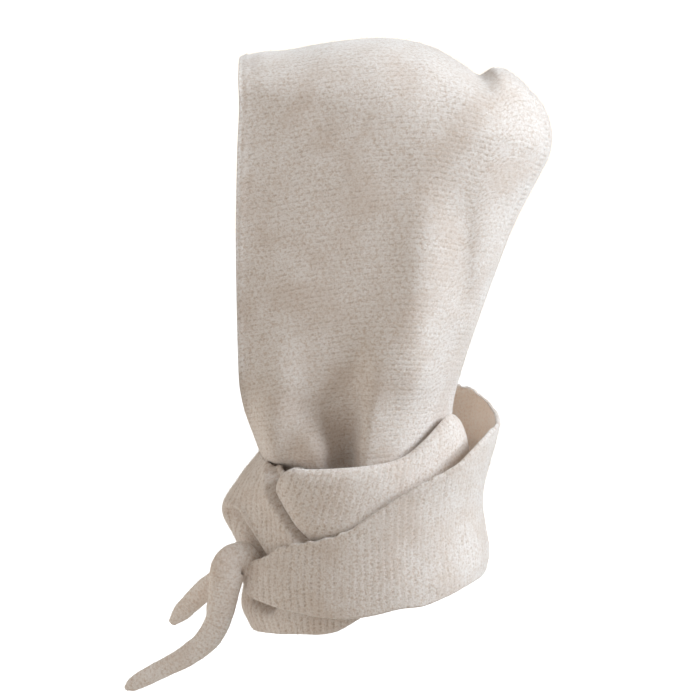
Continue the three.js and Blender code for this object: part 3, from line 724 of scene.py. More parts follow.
def hood():
    rows, cols = HOOD_ROWS + 1, HOOD_COLUMNS + 1
    near, share = hood_panel(1, NEAR_FOLDS)
    far, _ = hood_panel(-1, FAR_FOLDS)

    # The panels share the points of their seams, which are the last row and column
    near_index = grid_numbers(rows, cols)
    far_index = near_index.copy()
    far_index[:-1, :-1] = grid_numbers(rows - 1, cols - 1, rows * cols)
    base = np.concatenate([near.reshape(-1, 3), far[:-1, :-1].reshape(-1, 3)])
    faces = quads(near_index) + quads(far_index, flip=True)
    outer_faces = len(faces)
    normal = vertex_normals(base, faces)
    outer = base.copy()
    uvs = []
    side = share * HOOD_DEPTH
    for grid, index, seed in ((near, near_index, 5), (far, far_index, 15)):
        up = column_lengths(grid)
        wobble = waves(side, up, HOOD_WOBBLE, seed)
        move = hood_relief(grid, share, side, up, wobble, seed)
        numbers = index.ravel()
        outer[numbers] = base[numbers] + normal[numbers] * move.reshape(-1, 1)
        uvs.append(knit_place(side, up + wobble))
    normal = vertex_normals(outer, faces)

    coarse = every(HOOD_STRIDE)
    chosen = np.stack([near_index[coarse], far_index[coarse]])
    kept, renumbered = np.unique(chosen, return_inverse=True)
    inner_near, inner_far = len(outer) + renumbered.reshape(chosen.shape)
    points = [outer, base[kept] - normal[kept] * KNIT]
    faces += quads(inner_near, flip=True) + quads(inner_far)
    lining = (outer_faces, len(faces))
    uv_near = grid_numbers(rows, cols)
    uv_far = grid_numbers(rows, cols, rows * cols)
    uv_faces = quads(uv_near) + quads(uv_far, flip=True)
    uv_faces += quads(uv_near[coarse], flip=True) + quads(uv_far[coarse])
    for index, inner, uv, flip in ((near_index, inner_near, uv_near, True),
                                   (far_index, inner_far, uv_far, False)):
        edges = ((index[:, 0], index[:, 1], inner[:, 0], uv[:, 0], flip),
                 (index[0], index[1], inner[0], uv[0], not flip))
        close_edges(edges, HOOD_STRIDE, outer, normal, points, faces, uv_faces)
    return mesh_piece("hood_cloth", np.concatenate(points), faces, np.concatenate(uvs), uv_faces,
                      lining)


# Wraps

def round_neck(turn, out, z):
    angle = np.radians(turn)
    return np.stack([
        (NECK_HALF_WIDTH + out) * np.sin(angle),
        NECK_CENTRE - (NECK_HALF_DEPTH + out) * np.cos(angle),
        z + 0 * angle,
    ], -1)


def roll_end(turns, z, visible):
    """The wrap's rounded end: how far its cloth rises and shifts along the wrap."""
    degree = math.pi / 180 * (NECK_HALF_DEPTH + ROLL_SURFACE)
    past = (turns - read(WRAP_END, z)) * degree * END_SLANT
    shift = np.where((past > END_FROM) & (past < END_TO), read(END_SECTION, past) - past, 0)
    rise = read(END_SECTION, past, 2) * read(WRAP_SWELL, turns)

    # The end takes no more room than the scarf over it leaves
    up = (z - NECK_TOP) / WRAP_HEIGHT
    outer = np.maximum(turns, BAND_START)
    under = smooth_step((read(BAND, outer) + END_EDGE - up) / END_EDGE)
    room = mix(OPEN_ROOM, band_shape(outer, up) - END_CLEARANCE, under)
    kept = np.clip(np.maximum(room, 0) / np.maximum(rise, 0.1), 0, 1) * visible
    kept = kept * ease(turns, END_START)
    return rise * kept, shift * kept / degree


def inner_roll():
    section = np.asarray(ROLL_SECTION)
    step = np.hypot(np.diff(section[:, 0]) * ROLL_CROWDING, np.diff(section[:, 1]))
    keys = np.concatenate([[0], np.cumsum(step)])
    share = np.linspace(0, keys[-1], ROLL_ROWS + 1)
    across = np.interp(share, keys, section[:, 0])
    height = np.interp(share, keys, section[:, 1])
    for _ in range(ROLL_SMOOTHING):
        across[1:-1] = (across[:-2] + 2 * across[1:-1] + across[2:]) / 4
    turn = spaced(ROLL_SPACING, ROLL_COLUMNS)
    top = NECK_TOP + ROLL_HEIGHT * read(ROLL_TOP, turn)
    foot = NECK_TOP - ROLL_HEIGHT
    turns, rows = np.meshgrid(turn, np.arange(ROLL_ROWS + 1))
    u = turns * math.pi / 180 * (NECK_HALF_DEPTH + ROLL_THICKNESS)
    z = foot + height[rows] * (top[None, :] - foot)
    visible = ease(height[rows], SHOWN_HEIGHT) * (across[rows] > SHOWN_SIDE)
    rise, shift = roll_end(turns, z, visible)
    out = CUT_CLEARANCE + across[rows] * ROLL_THICKNESS + rise
    lean = u - (z - NECK_TOP) * ROLL_LEAN
    ridge = courses(lean + waves(u, z, ROLL_WOBBLE), SCARF_COURSE, SCARF_RIDGE, SCARF_EVENNESS,
                    waves(u, z, ROLL_WEAR))
    relief = visible * (ridge + waves(u, z, ROLL_LUMPS))
    grid = round_neck(turns + shift, out + relief, z)
    index = round_numbers(ROLL_ROWS + 1, ROLL_COLUMNS)
    closed = np.concatenate([index, index[:1]], 0)
    lean_uv = np.concatenate([lean, lean[-1:] + 0 * lean[:1]])
    up_uv = np.concatenate([z, z[-1:] - ROLL_THICKNESS])
    return mesh_piece("inner_roll", grid[:, :-1].reshape(-1, 3), quads(closed, flip=True),
                      knit_place(up_uv, lean_uv),
                      quads(grid_numbers(ROLL_ROWS + 2, ROLL_COLUMNS + 1), flip=True))


def hollow_depth(turn, up):
    total = np.zeros_like(up)
    degree = math.pi * (NECK_HALF_DEPTH + ROLL_THICKNESS) / 180 / WRAP_HEIGHT
    for start, end, wide, depth in BAND_HOLLOWS:
        da = (end[0] - start[0]) * degree
        du = end[1] - start[1]
        pa = (turn - start[0]) * degree
        pu = up - start[1]
        u = np.clip((pa * da + pu * du) / (da * da + du * du), 0, 1)
        away = np.hypot(pa - u * da, pu - u * du) / wide
        total += depth * mix(HOLLOW_START, 1, u) * np.exp(-away * away)
    return total


def band_shape(turn, up):
    hem = read(BAND, turn, 2)
    share = np.clip((up - hem) / (read(BAND, turn) - hem), 0, 1)
    stands = np.stack([read(BAND, turn, k) for k in range(3, 10)])
    return (along(BAND_STATIONS, stands, share) - hollow_depth(turn, up)) * ROLL_THICKNESS


def chin_fold(stand, front, up):
    """The scarf's fold in front: its crest, the pocket under it, and the fall past the crest."""
    past = front - read(FOLD_CREST, up)
    crest = FOLD_SWELL * bell(past, CREST_WIDTH) * ease(up, CREST_TOP)
    below = read(POCKET_LINE, front) - up
    deep = ease(below, POCKET_EDGE) * (1 - ease(below, POCKET_FLOOR))
    fold = POCKET_LIP * bell(below + LIP_WIDTH, LIP_WIDTH) - POCKET_DEPTH * deep
    fold = fold * ease(front, FOLD_START)
    folded = stand + (crest + fold) * ease(front, FOLD_END)
    fallen = ease(past, FOLD_FALL) * ease(up, FALL_FOOT)
    dip = -FOLD_DIP * ease(up, DIP_FOOT)
    dip = dip * mix(DIP_AT_TOP, 1, ease(up, DIP_TOP))
    return np.where(front > 0, mix(folded, dip, fallen), stand)


def band_stand(turn, up):
    front = turn - 360
    stand = chin_fold(band_shape(turn, up), front, up)

    # Under the scarf's own beginning the fold is pressed flat
    upper = np.maximum(front, BAND_START)
    room = band_shape(np.maximum(front, LAP_FULL), up) - KNIT - LAP_CLEARANCE - LAP_PRESS
    pressed = smooth_step((read(BAND, upper) + LAP_EDGE - up) / LAP_EDGE_REACH)
    pressed = pressed * smooth_step((up - read(BAND, upper, 2) + LAP_FOOT) / LAP_FOOT)
    pressed = pressed * (front > BAND_START)
    stand = mix(stand, np.minimum(stand, np.maximum(room, 0)), pressed)
    return stand + CLEARANCE


def spaced(spacing, count):
    return np.interp(np.linspace(0, 1, count + 1), column(spacing, 0), column(spacing, 1))


def scarf():
    share = np.linspace(0, 1, BAND_ROWS + 1)
    turns, t = np.meshgrid(spaced(BAND_SPACING, BAND_COLUMNS), share)
    u = turns * math.pi / 180 * (NECK_HALF_DEPTH + ROLL_SURFACE)
    edge_wave = waves(u, 0 * u, EDGE_WAVES)
    up = mix(read(BAND, turns, 2), read(BAND, turns), t)
    up = up + edge_wave * ease(t, EDGE_WAVE_START) / WRAP_HEIGHT
    stand = band_stand(turns, up)

    # The scarf's beginning lies over its end
    over = band_stand(np.minimum(turns + 360, BAND_END), up) + KNIT + LAP_CLEARANCE
    lap = turns + 360 < BAND_END + BAND_LAP
    stand = np.where(lap, np.maximum(stand, over), stand)
    z = NECK_TOP + up * WRAP_HEIGHT
    grid = round_neck(turns, ROLL_SURFACE + stand + KNIT, z)
    index = grid_numbers(*turns.shape)
    faces = quads(index)
    outer_faces = len(faces)
    base = grid.reshape(-1, 3)
    normal = vertex_normals(base, faces)
    wobble = waves(u, z, SCARF_WOBBLE)
    angle = np.radians(turns)
    outward = np.stack([np.sin(angle), -np.cos(angle), 0 * angle], -1)
    facing = np.clip((normal.reshape(outward.shape) * outward).sum(-1), 0, 1) ** 2
    ridge = courses(u + wobble, SCARF_COURSE, SCARF_RIDGE * facing, SCARF_EVENNESS,
                    waves(u, z, SCARF_WEAR))
    outer = base + normal * (ridge + waves(u, z, SCARF_LUMPS)).reshape(-1, 1)
    normal = vertex_normals(outer, faces)

    coarse = every(BAND_STRIDE)
    inner = (grid[coarse] - normal.reshape(grid.shape)[coarse] * KNIT).reshape(-1, 3)
    inner_index = grid_numbers(*index[coarse].shape, len(outer))
    faces += quads(inner_index, flip=True)
    lining = (outer_faces, len(faces))
    uv_faces = quads(index) + quads(index[coarse], flip=True)
    points = [outer, inner]
    edges = ((index[0], index[1], inner_index[0], index[0], True),
             (index[-1], index[-2], inner_index[-1], index[-1], False),
             (index[:, 0], index[:, 1], inner_index[:, 0], index[:, 0], False),
             (index[:, -1], index[:, -2], inner_index[:, -1], index[:, -1], True))
    close_edges(edges, BAND_STRIDE, outer, normal, points, faces, uv_faces)
    return mesh_piece("scarf_cloth", np.concatenate(points), faces, knit_place(z, u + wobble),
                      uv_faces, lining)


# Knot and ties

knot_middle = round_neck(np.float64(KNOT_TURN), ROLL_SURFACE + KNOT_OUT * ROLL_THICKNESS,
                         NECK_TOP + KNOT_UP * WRAP_HEIGHT)


def knot_lump():
    azimuth = np.linspace(0, FULL_TURN, KNOT_COLUMNS + 1)[:-1]
    polar = np.linspace(0, math.pi, KNOT_ROWS + 1)
    a, p = np.meshgrid(azimuth, polar)
    ball = np.stack([np.sin(p) * np.cos(a), np.sin(p) * np.sin(a), np.cos(p)], -1)
    radius = KNOT_LENGTH / 2 * (1 + waves(a * KNOT_SPAN, p * KNOT_SPAN, KNOT_LUMPS))
    body = ball * radius[..., None] * np.array([KNOT_SIDE, KNOT_REACH, 1])
    lean = math.radians(KNOT_LEAN)
    y = body[..., 1] * math.cos(lean) - body[..., 2] * math.sin(lean)
    z = body[..., 1] * math.sin(lean) + body[..., 2] * math.cos(lean)
    grid = np.stack([body[..., 0], y, z], -1) + knot_middle

    # Each pole is one point, so the faces there have three corners
    index = round_numbers(KNOT_ROWS + 1, KNOT_COLUMNS)
    index[0] = index[0, 0]
    index[-1] = index[-1, 0]
    uv_index = grid_numbers(KNOT_ROWS + 1, KNOT_COLUMNS + 1)
    ua, up = np.meshgrid(np.linspace(0, 1, KNOT_COLUMNS + 1), np.linspace(0, 1, KNOT_ROWS + 1))
    uvs = knit_place(ua * KNOT_LENGTH * KNOT_ROUND, up * KNOT_LENGTH * KNOT_RISE)
    faces = []
    uv_faces = []
    for face, uv_face in zip(quads(index, flip=True), quads(uv_index, flip=True)):
        kept = [k for k in range(4) if face[k] not in face[:k]]
        faces.append([face[k] for k in kept])
        uv_faces.append([uv_face[k] for k in kept])
    used, renumbered = np.unique(np.concatenate(faces), return_inverse=True)
    ends = np.cumsum([len(face) for face in faces])[:-1]
    faces = [face.tolist() for face in np.split(renumbered, ends)]
    return mesh_piece("knot_cloth", grid.reshape(-1, 3)[used], faces, uvs, uv_faces)


def centripetal(points, count):
    """Points on the centripetal curve through a tie's stations, and its tangents."""
    p = np.asarray(points, float)
    last = len(p) - 1
    place = np.linspace(0, last, count)
    ends = (2 * p[0] - p[1], 2 * p[-1] - p[-2])
    padded = np.concatenate([[ends[0]], p, [ends[1]]])

    def at(value):
        i = min(int(value), last - 1)
        w = value - i
        p0, p1, p2, p3 = padded[i:i + 4]
        d0, d1, d2 = (max(np.linalg.norm(b - a) ** 0.5, 1e-4)
                      for a, b in ((p0, p1), (p1, p2), (p2, p3)))
        t1 = ((p1 - p0) / d0 - (p2 - p0) / (d0 + d1) + (p2 - p1) / d1) * d1
        t2 = ((p2 - p1) / d1 - (p3 - p1) / (d1 + d2) + (p3 - p2) / d2) * d1
        return cubic(p1, p2, t1, t2, w)

    line = np.array([at(v) for v in place])
    return line, unit(np.gradient(line, axis=0))


def tie(name, path, length, width, seed, count):
    stations = [knot_middle + np.array([side, -reach, -drop]) * length
                for side, reach, drop, _ in path]
    line, tangent = centripetal(stations, count)
    keys = np.linspace(0, 1, len(path))
    half = along(keys, column(path, 3), np.linspace(0, 1, count)) * width / 2
    across = unit(np.cross(np.array([1.0, 0, 0]), tangent))
    thick = unit(np.cross(tangent, across))
    angle = np.linspace(0, FULL_TURN, TIE_SIDES + 1)[:-1]
    run = np.concatenate([[0], np.cumsum(np.linalg.norm(np.diff(line, axis=0), axis=1))])
    rings = []
    for k in range(-TIE_CAP, count + TIE_CAP):
        i = min(max(k, 0), count - 1)
        past = abs(k - i) / TIE_CAP
        shrink = math.sqrt(1 - past * past) if past < 1 else TIE_TIP
        ahead = past * half[i] * TIE_CAP_LENGTH * (-1 if k < 0 else 1)
        around = angle * half[i]
        lump = 1 + waves(around, run[i] + 0 * around, TIE_LUMPS, seed)
        ridge = courses(run[i], TIE_COURSE, TIE_RIDGE) * shrink
        wide = half[i] * shrink * lump + ridge
        deep = half[i] * TIE_FLATNESS * shrink * lump + ridge
        rings.append(line[i] + tangent[i] * ahead
                     + np.cos(angle)[:, None] * across[i] * wide[:, None]
                     + np.sin(angle)[:, None] * thick[i] * deep[:, None])
    total = len(rings)
    index = round_numbers(total, TIE_SIDES)
    uv_index = grid_numbers(total, TIE_SIDES + 1)
    ring_run = np.interp(np.arange(total) - TIE_CAP, np.arange(count), run)
    ring_place = np.linspace(0, FULL_TURN, TIE_SIDES + 1) * width * TIE_ROUND
    ua, ur = np.meshgrid(ring_place, ring_run)
    faces, uv_faces = (
        quads(numbers) + [numbers[0, :-1].tolist()[::-1], numbers[-1, :-1].tolist()]
        for numbers in (index, uv_index))
    return mesh_piece(name, np.concatenate(rings), faces, knit_place(ua, ur), uv_faces)


# Materials

class Nodes:
    """A short way to write the nodes of a material or of the world."""

    def __init__(self, owner):
        owner.use_nodes = True
        self.tree = owner.node_tree
        self.tree.nodes.clear()

    def node(self, kind, **settings):
        made = self.tree.nodes.new("ShaderNode" + kind)
        for key, value in settings.items():
            setattr(made, key, value)
        return made

    def put(self, made, **values):
        """Link or set a node's sockets. A name's underscores stand for spaces."""
        for name, value in values.items():
            self.fill(made.inputs[name.replace("_", " ")], value)
        return made

    def fill(self, socket, value):
        if isinstance(value, bpy.types.NodeSocket):
            self.tree.links.new(value, socket)
        else:
            socket.default_value = value

    def math(self, operation, *values):
        made = self.node("Math", operation=operation)
        for socket, value in zip(made.inputs, values):
            self.fill(socket, value)
        return made.outputs[0]

    def times(self, a, b):
        return self.math("MULTIPLY", a, b)

    def add(self, a, share, b):
        return self.math("MULTIPLY_ADD", a, share, b)

    def noise(self, vector, scale, detail, rough):
        made = self.node("TexNoise")
        self.put(made, Vector=vector, Scale=scale, Detail=detail, Roughness=rough)
        return made.outputs["Fac"]

    def curls(self, vector, scale, twist):
        """Thin winding lines, as of yarn and fibres: 1 on a line, 0 between."""
        made = self.node("TexNoise")
        self.put(made, Vector=vector, Scale=scale, Detail=1, Distortion=twist)
        off = self.math("ABSOLUTE", self.add(made.outputs["Fac"], 7.0, -3.5))
        return self.math("SUBTRACT", 1.0, self.math("MINIMUM", off, 1.0))

    def wave(self, turns):
        return self.add(self.math("SINE", self.times(turns, FULL_TURN)), 0.5, 0.5)

    def stretch(self, vector, scale):
        return self.put(self.node("Mapping"), Vector=vector, Scale=scale).outputs[0]

    def blend(self, factor, a, b):
        made = self.node("Mix", data_type="RGBA")
        return self.put(made, Factor=factor, A=a, B=b).outputs["Result"]

    def spread(self, value, low, high):
        made = self.node("MapRange", interpolation_type="SMOOTHSTEP")
        return self.put(made, Value=value, From_Min=low, From_Max=high).outputs["Result"]

    def output(self, kind, surface):
        self.put(self.node(kind), Surface=surface.outputs[0])


def shade(red, green, blue):
    """A colour given as 8-bit sRGB, in linear light."""
    def linear(c):
        c /= 255
        return c / 12.92 if c <= 0.04045 else ((c + 0.055) / 1.055) ** 2.4
    return (linear(red), linear(green), linear(blue), 1)


# Yarn colours: light, body, warm, and a darker tone that is painted shade in the grooves between
# the stitches
OUTER_YARNS = [(228, 221, 216), (208, 194, 184), (187, 162, 142), (160, 137, 119)]
# The tie yarns are the outer wool made lighter: painted light for the light falling on the ties and
# the knot
TIE_PAINTED_LIGHT_YARNS = [(238, 231, 226), (220, 206, 196), (200, 174, 154), (172, 148, 130)]
# The lining yarns are the same wool made lighter and warmer: painted light for the warm glow inside
# the wraps
LINING_PAINTED_LIGHT_YARNS = [(253, 240, 226), (249, 229, 210), (239, 212, 188), (224, 195, 170)]
FIBRE_YARNS = [(236, 231, 226), (224, 212, 200)]

# Noise in the wool: scale, detail, roughness
WOOL_NOISE = {
    "bend": (150, 2, 0.6),
    "clump": (520, 3, 0.65),
    "fibre": (1500, 4, 0.75),
    "patch": (95, 2, 0.5),
    "fleck": (420, 5, 0.75),
    "cloud": (26, 3, 0.5),
    "frost": (760, 2, 0.6),
}
HEATHER_NOISE = (1, 4, 0.7)
FIBRE_NOISE = (60, 2, 0.5)

# Thin lines of yarn in the wool: scale, twist
WOOL_CURLS = {"curl": (300, 2.2), "wisp": (700, 1.6)}

# The marks of the stitches: how far the wool's bends shift them, how sharp the gaps between the
# courses and the dashes in them are, and the spans over which clumps and worn patches take them off
STITCH_SWAY = 1.6
GAP_SHARPNESS = 2.5
DASH_SHARPNESS = 0.6
CLUMP_SPAN = (0.34, 0.58)
WORN_SPAN = (0.32, 0.62)
GAP_HEIGHT = 0.36

# The painted shade in the grooves: share of the plain line, its span, then its strength with the
# relief
LINE_SHARPNESS = 3.0
LINE_SHARE = 0.12
GROOVE_SHADE_SPAN = (0.11, 0.82)
GROOVE_SHADE_STRENGTH = 0.9
GROOVE_SHADE_LEAST = 0.12
BUMP_STRENGTH = 0.7
BUMP_DISTANCE = 0.0006

# Height of the wool's surface: pattern, share
WOOL_HEIGHT = [("curl", 0.05), ("wisp", 0.08), ("clump", 0.45), ("fibre", 1.0)]

# Tones laid over the yarn's body: pattern, from, to, most, yarn
LIGHT, BODY, WARM, GROOVE_SHADE = range(4)
WOOL_TONES = [
    ("heather", 0.36, 0.64, 1.00, LIGHT),
    ("fleck", 0.46, 0.62, 0.78, WARM),
    ("frost", 0.44, 0.66, 0.60, LIGHT),
    ("cloud", 0.44, 0.66, 0.30, WARM),
    ("wisp", 0.50, 0.95, 0.30, LIGHT),
]


def knit_material(name, course, stitch, relief, sway, grain, yarns):
    made = bpy.data.materials.new(name)
    n = Nodes(made)
    tones = [shade(*yarn) for yarn in yarns]
    uv = n.node("UVMap", uv_map="Knit").outputs["UV"]
    u, v, _ = n.put(n.node("SeparateXYZ"), Vector=uv).outputs
    place = n.node("TexCoord").outputs["Object"]
    wool = {key: n.noise(place, *row) for key, row in WOOL_NOISE.items()}
    for key, row in WOOL_CURLS.items():
        wool[key] = n.curls(place, *row)
    wool["heather"] = n.noise(n.stretch(uv, grain), *HEATHER_NOISE)

    # Dashes between the courses, set off by half a stitch from one course to the next
    rows = n.add(v, UV_UNIT / course, n.times(wool["bend"], sway))
    odd = n.times(n.math("FLOOR", rows), 0.5)
    stitches = n.add(u, UV_UNIT / stitch, n.add(wool["bend"], STITCH_SWAY, odd))
    gap = n.math("SUBTRACT", 1.0, n.wave(rows))
    dash = n.math("POWER", n.wave(stitches), DASH_SHARPNESS)
    dash = n.times(n.math("POWER", gap, GAP_SHARPNESS), dash)
    dash = n.times(dash, n.spread(wool["clump"], *CLUMP_SPAN))
    worn = n.times(n.spread(wool["patch"], *WORN_SPAN), relief)
    height = n.times(n.add(gap, GAP_HEIGHT, dash), n.times(worn, -1.0))
    for key, share in WOOL_HEIGHT:
        height = n.add(wool[key], share, height)

    colour = tones[BODY]
    for key, low, high, most, yarn in WOOL_TONES:
        colour = n.blend(n.times(n.spread(wool[key], low, high), most), colour, tones[yarn])
    # Painted shade: the groove tone darkens the gaps between the courses and the dashes between the
    # stitches
    line = n.add(n.math("POWER", gap, LINE_SHARPNESS), LINE_SHARE, dash)
    groove = n.spread(line, *GROOVE_SHADE_SPAN)
    groove = n.times(groove, n.add(worn, GROOVE_SHADE_STRENGTH, GROOVE_SHADE_LEAST))
    colour = n.blend(groove, colour, tones[GROOVE_SHADE])

    bump = n.put(n.node("Bump"), Strength=BUMP_STRENGTH, Distance=BUMP_DISTANCE, Height=height)
    shader = n.put(n.node("BsdfPrincipled"), Base_Color=colour, Roughness=0.95,
                   Normal=bump.outputs["Normal"], Specular_IOR_Level=0.15, Sheen_Weight=0.6,
                   Sheen_Roughness=0.5)
    n.output("OutputMaterial", shader)
    return made


def fibre_material():
    made = bpy.data.materials.new("fibre_wool")
    n = Nodes(made)
    place = n.node("TexCoord").outputs["Object"]
    patch = n.spread(n.noise(place, *FIBRE_NOISE), 0.4, 0.6)
    colour = n.blend(patch, *(shade(*yarn) for yarn in FIBRE_YARNS))
    shader = n.put(n.node("BsdfPrincipled"), Base_Color=colour, Roughness=1.0,
                   Specular_IOR_Level=0.1, Sheen_Weight=0.4)
    n.output("OutputMaterial", shader)
    return made


# Knits: course, stitch, relief, sway of the courses, grain of the yarn, yarns
KNITS = {
    "hood_knit_wool": (HOOD_COURSE, HOOD_STITCH, 0.35, 0.30, (34, 88, 1), OUTER_YARNS),
    "scarf_knit_wool": (SCARF_COURSE, SCARF_STITCH, 0.44, 0.35, (70, 70, 1), OUTER_YARNS),
    "tie_knit_wool": (TIE_COURSE, SCARF_STITCH, 0.30, 0.35, (50, 70, 1), TIE_PAINTED_LIGHT_YARNS),
    "lining_knit_wool": (SCARF_COURSE, SCARF_STITCH, 0.30, 0.90, (50, 70, 1), LINING_PAINTED_LIGHT_YARNS),
}
hood_knit, scarf_knit, tie_painted_light_knit, lining_painted_light_knit = (
    knit_material(name, *knit) for name, knit in KNITS.items())
fibre_wool = fibre_material()


# Fuzz

ROOT_SPREAD = 1.4
ROOT_DEPTH = 0.3
FIBRE_LEAN = (0.2, 2.0)
SHORTEST_SHARE = 0.3
LOOP_SPAN = (2, 7)
LOOP_HEIGHT = (1.2, 4.0)
LOOP_BOW = (-2.5, 2.5)


def mesh_values(items, name, kind, width=1):
    values = np.zeros(len(items) * width, kind)
    items.foreach_get(name, values)
    return values.reshape(-1, width) if width > 1 else values


def stray_loop(root, ahead, up, aside, draw):
    """The rings of a thin loop of yarn that stands up from the cloth."""
    span = draw.uniform(*LOOP_SPAN)
    height = draw.uniform(*LOOP_HEIGHT)
    bow = draw.uniform(*LOOP_BOW)
    step = np.linspace(0, 1, LOOP_STEPS + 1)[:, None]
    turns = np.radians([0, 120, 240])[:, None]
    arc = np.sin(math.pi * step)
    line = root + ahead * span * step + up * height * arc + aside * bow * arc * step
    across = unit(np.cross(np.gradient(line, axis=0), aside))
    return line[:, None] + FIBRE_RADIUS * (np.cos(turns) * aside + np.sin(turns) * across[:, None])


def fuzz(name, cloth, count, longest, loops, seed):
    """Short fibres out of a cloth's outer side, each a closed spike with three sides."""
    polygons = cloth.data.polygons
    draw = np.random.RandomState(seed)
    outer_side = mesh_values(polygons, "material_index", np.int32) == 0
    weight = mesh_values(polygons, "area", float) * outer_side
    pick = draw.choice(len(polygons), count, p=weight / weight.sum())
    root = mesh_values(polygons, "center", float, 3)[pick] / MM
    up = mesh_values(polygons, "normal", float, 3)[pick]
    first = unit(np.cross(up, draw.normal(size=(count, 3))))
    second = np.cross(up, first)
    root = root + first * draw.uniform(-ROOT_SPREAD, ROOT_SPREAD, (count, 1))
    root = root + second * draw.uniform(-ROOT_SPREAD, ROOT_SPREAD, (count, 1))
    root = root - up * ROOT_DEPTH
    lean = draw.uniform(*FIBRE_LEAN, (count, 1))
    share = draw.uniform(0, 1, (count, 1)) ** 2
    size = longest * mix(SHORTEST_SHARE, 1, share)
    tip = root + unit(up + first * lean) * size
    corners = [root + FIBRE_RADIUS * (first * math.cos(turn) + second * math.sin(turn))
               for turn in (0, FULL_TURN / 3, 2 * FULL_TURN / 3)]
    points = [np.stack(corners + [tip], 1).reshape(-1, 3)]
    start = np.arange(count)[:, None, None] * 4
    sides = np.array([[0, 2, 1], [0, 1, 3], [1, 2, 3], [2, 0, 3]])
    faces = (start + sides).reshape(-1, 3).tolist()
    first_number = 4 * count
    for k in range(loops):
        points.append(stray_loop(root[k], first[k], up[k], second[k], draw).reshape(-1, 3))
        index = round_numbers(LOOP_STEPS + 1, 3, first_number)
        first_number += index[:, 1:].size
        faces += quads(index)
        faces.append(index[0, :3].tolist()[::-1])
        faces.append(index[-1, :3].tolist())
    mesh = bpy.data.meshes.new(name)
    mesh.from_pydata((np.concatenate(points) * MM).tolist(), [], faces)
    mesh.update()
    return in_scene(name, mesh)


# Assembly

hood_cloth = hood()
roll_cloth = inner_roll()
scarf_cloth = scarf()
knot_cloth = knot_lump()
long_tie = tie("long_tie_cloth", LONG_TIE, LONG_TIE_LENGTH, LONG_TIE_WIDTH, 61,
               LONG_TIE_ROWS)
short_tie = tie("short_tie_cloth", SHORT_TIE, SHORT_TIE_LENGTH, SHORT_TIE_WIDTH, 62,
                SHORT_TIE_ROWS)

for piece, nodes, slot, outer, inner in (
        (hood_cloth, ["hood"], "hood_knit", hood_knit, hood_knit),
        (roll_cloth, ["inner_wrap"], "scarf_knit", scarf_knit, lining_painted_light_knit),
        (scarf_cloth, ["scarf_band", "scarf_front"], "scarf_knit", scarf_knit, lining_painted_light_knit),
        (knot_cloth, ["knot"], "scarf_knit", tie_painted_light_knit, lining_painted_light_knit),
        (long_tie, ["long_tie"], "scarf_knit", tie_painted_light_knit, lining_painted_light_knit),
        (short_tie, ["short_tie"], "scarf_knit", tie_painted_light_knit, lining_painted_light_knit)):
    piece.data.materials.append(outer)
    piece.data.materials.append(inner)
    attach(piece, "root")
    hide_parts(*nodes)

for name, cloth, count, longest, loops, slot, seed in (
        ("hood_fuzz", hood_cloth, 44000, 4.0, 260, "hood_knit", 71),
        ("scarf_fuzz", scarf_cloth, 42000, 4.2, 220, "scarf_knit", 72),
        ("roll_fuzz", roll_cloth, 16000, 4.2, 60, "scarf_knit", 73),
        ("long_tie_fuzz", long_tie, 9000, 3.2, 12, "scarf_knit", 74),
        ("short_tie_fuzz", short_tie, 4500, 3.2, 6, "scarf_knit", 75)):
    fibres = fuzz(name, cloth, count, longest, loops, seed)
    fibres.data.materials.append(fibre_wool)
    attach(fibres, "root")

# Camera, floor and light

VIEW_WIDTH = 0.595
VIEW_DISTANCE = 1.5
VIEW_RISE = math.radians(5)
VIEW_TARGET = Vector((0, -0.02975, -0.2582))
SENSOR = 36
FAR_CLIP = 100


def aim(made, place, target):
    made.location = place
    made.rotation_euler = (Vector(target) - Vector(place)).to_track_quat("-Z", "Y").to_euler()


camera_data = bpy.data.cameras.new("camera")
camera_data.sensor_width = SENSOR
camera_data.lens = SENSOR * VIEW_DISTANCE / VIEW_WIDTH
camera_data.clip_end = FAR_CLIP
camera = in_scene("camera", camera_data)
view_from = VIEW_TARGET + Vector((math.cos(VIEW_RISE), 0, math.sin(VIEW_RISE))) * VIEW_DISTANCE
aim(camera, view_from, VIEW_TARGET)
bpy.context.scene.camera = camera

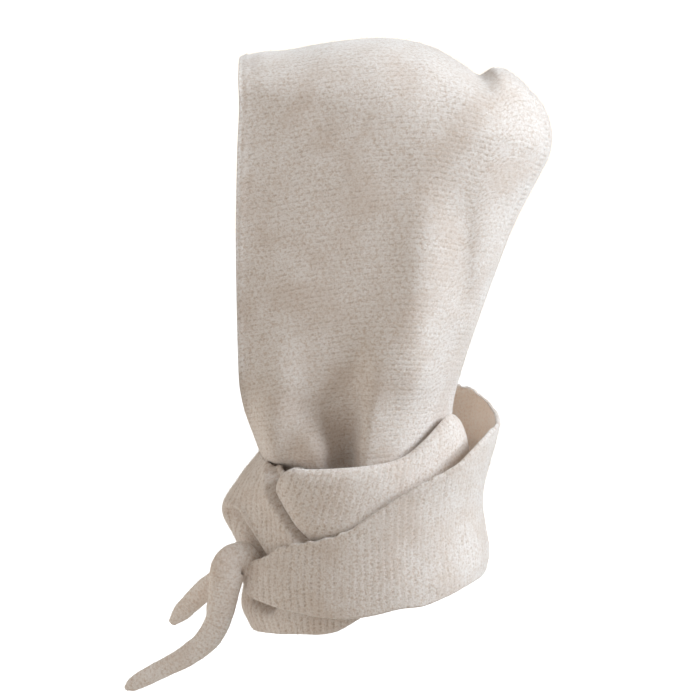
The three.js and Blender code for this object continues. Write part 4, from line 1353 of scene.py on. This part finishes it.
FLOOR_LEVEL = -0.80
FLOOR_REACH = 30
floor_mesh = bpy.data.meshes.new("floor")
floor_corners = [(x * FLOOR_REACH, y * FLOOR_REACH, FLOOR_LEVEL)
                 for x, y in ((-1, -1), (1, -1), (1, 1), (-1, 1))]
floor_mesh.from_pydata(floor_corners, [], [(0, 1, 2, 3)])
floor_paint = bpy.data.materials.new("floor_paint")
floor_nodes = Nodes(floor_paint)
floor_shader = floor_nodes.put(
    floor_nodes.node("BsdfPrincipled"), Base_Color=(0.93, 0.93, 0.93, 1), Roughness=0.9,
    Emission_Color=(1, 1, 1, 1), Emission_Strength=0.8)
floor_nodes.output("OutputMaterial", floor_shader)
floor_mesh.materials.append(floor_paint)
floor = in_scene("floor", floor_mesh)
floor.visible_diffuse = False


def area_light(name, place, target, size, power, colour):
    data = bpy.data.lights.new(name, "AREA")
    data.shape = "DISK"
    data.size = size
    data.energy = power
    data.color = colour
    aim(in_scene(name, data), place, target)


AIM = (0, 0, -0.22)
area_light("key", place=(0.7, 2.4, 1.1), target=AIM, size=1.5, power=132,
           colour=(0.83, 0.92, 1.0))

# The studio's fill light by direction: warmer than the key, brighter from the left and from
# below, a little dimmer from above. What shows behind the object is plain white.
FILL_LEVEL = 0.53
FRONT_SHARE = -0.05
RIGHT_SHARE = -0.45
TOP_SHARE = -0.14
BELOW_SHARE = 0.36
FILL_COLOUR = (1.0, 0.952, 0.875, 1)
LEAST_FILL = 0.05
SEEN_LEVEL = 1.2

world = bpy.data.worlds.new("studio")
bpy.context.scene.world = world
n = Nodes(world)
direction = n.node("TexCoord").outputs["Generated"]
ahead, right, rise = n.put(n.node("SeparateXYZ"), Vector=direction).outputs
level = n.add(ahead, FRONT_SHARE, FILL_LEVEL)
level = n.add(right, RIGHT_SHARE, level)
level = n.add(n.math("MAXIMUM", rise, 0.0), TOP_SHARE, level)
level = n.add(n.math("MAXIMUM", n.times(rise, -1.0), 0.0), BELOW_SHARE, level)
level = n.math("MAXIMUM", level, LEAST_FILL)
seen = n.node("LightPath").outputs["Is Camera Ray"]
level = n.math("MAXIMUM", level, n.times(seen, SEEN_LEVEL))
fill = n.put(n.node("Background"), Color=FILL_COLOUR, Strength=level)
n.output("OutputWorld", fill)
bpy.context.scene.view_settings.view_transform = "Standard"
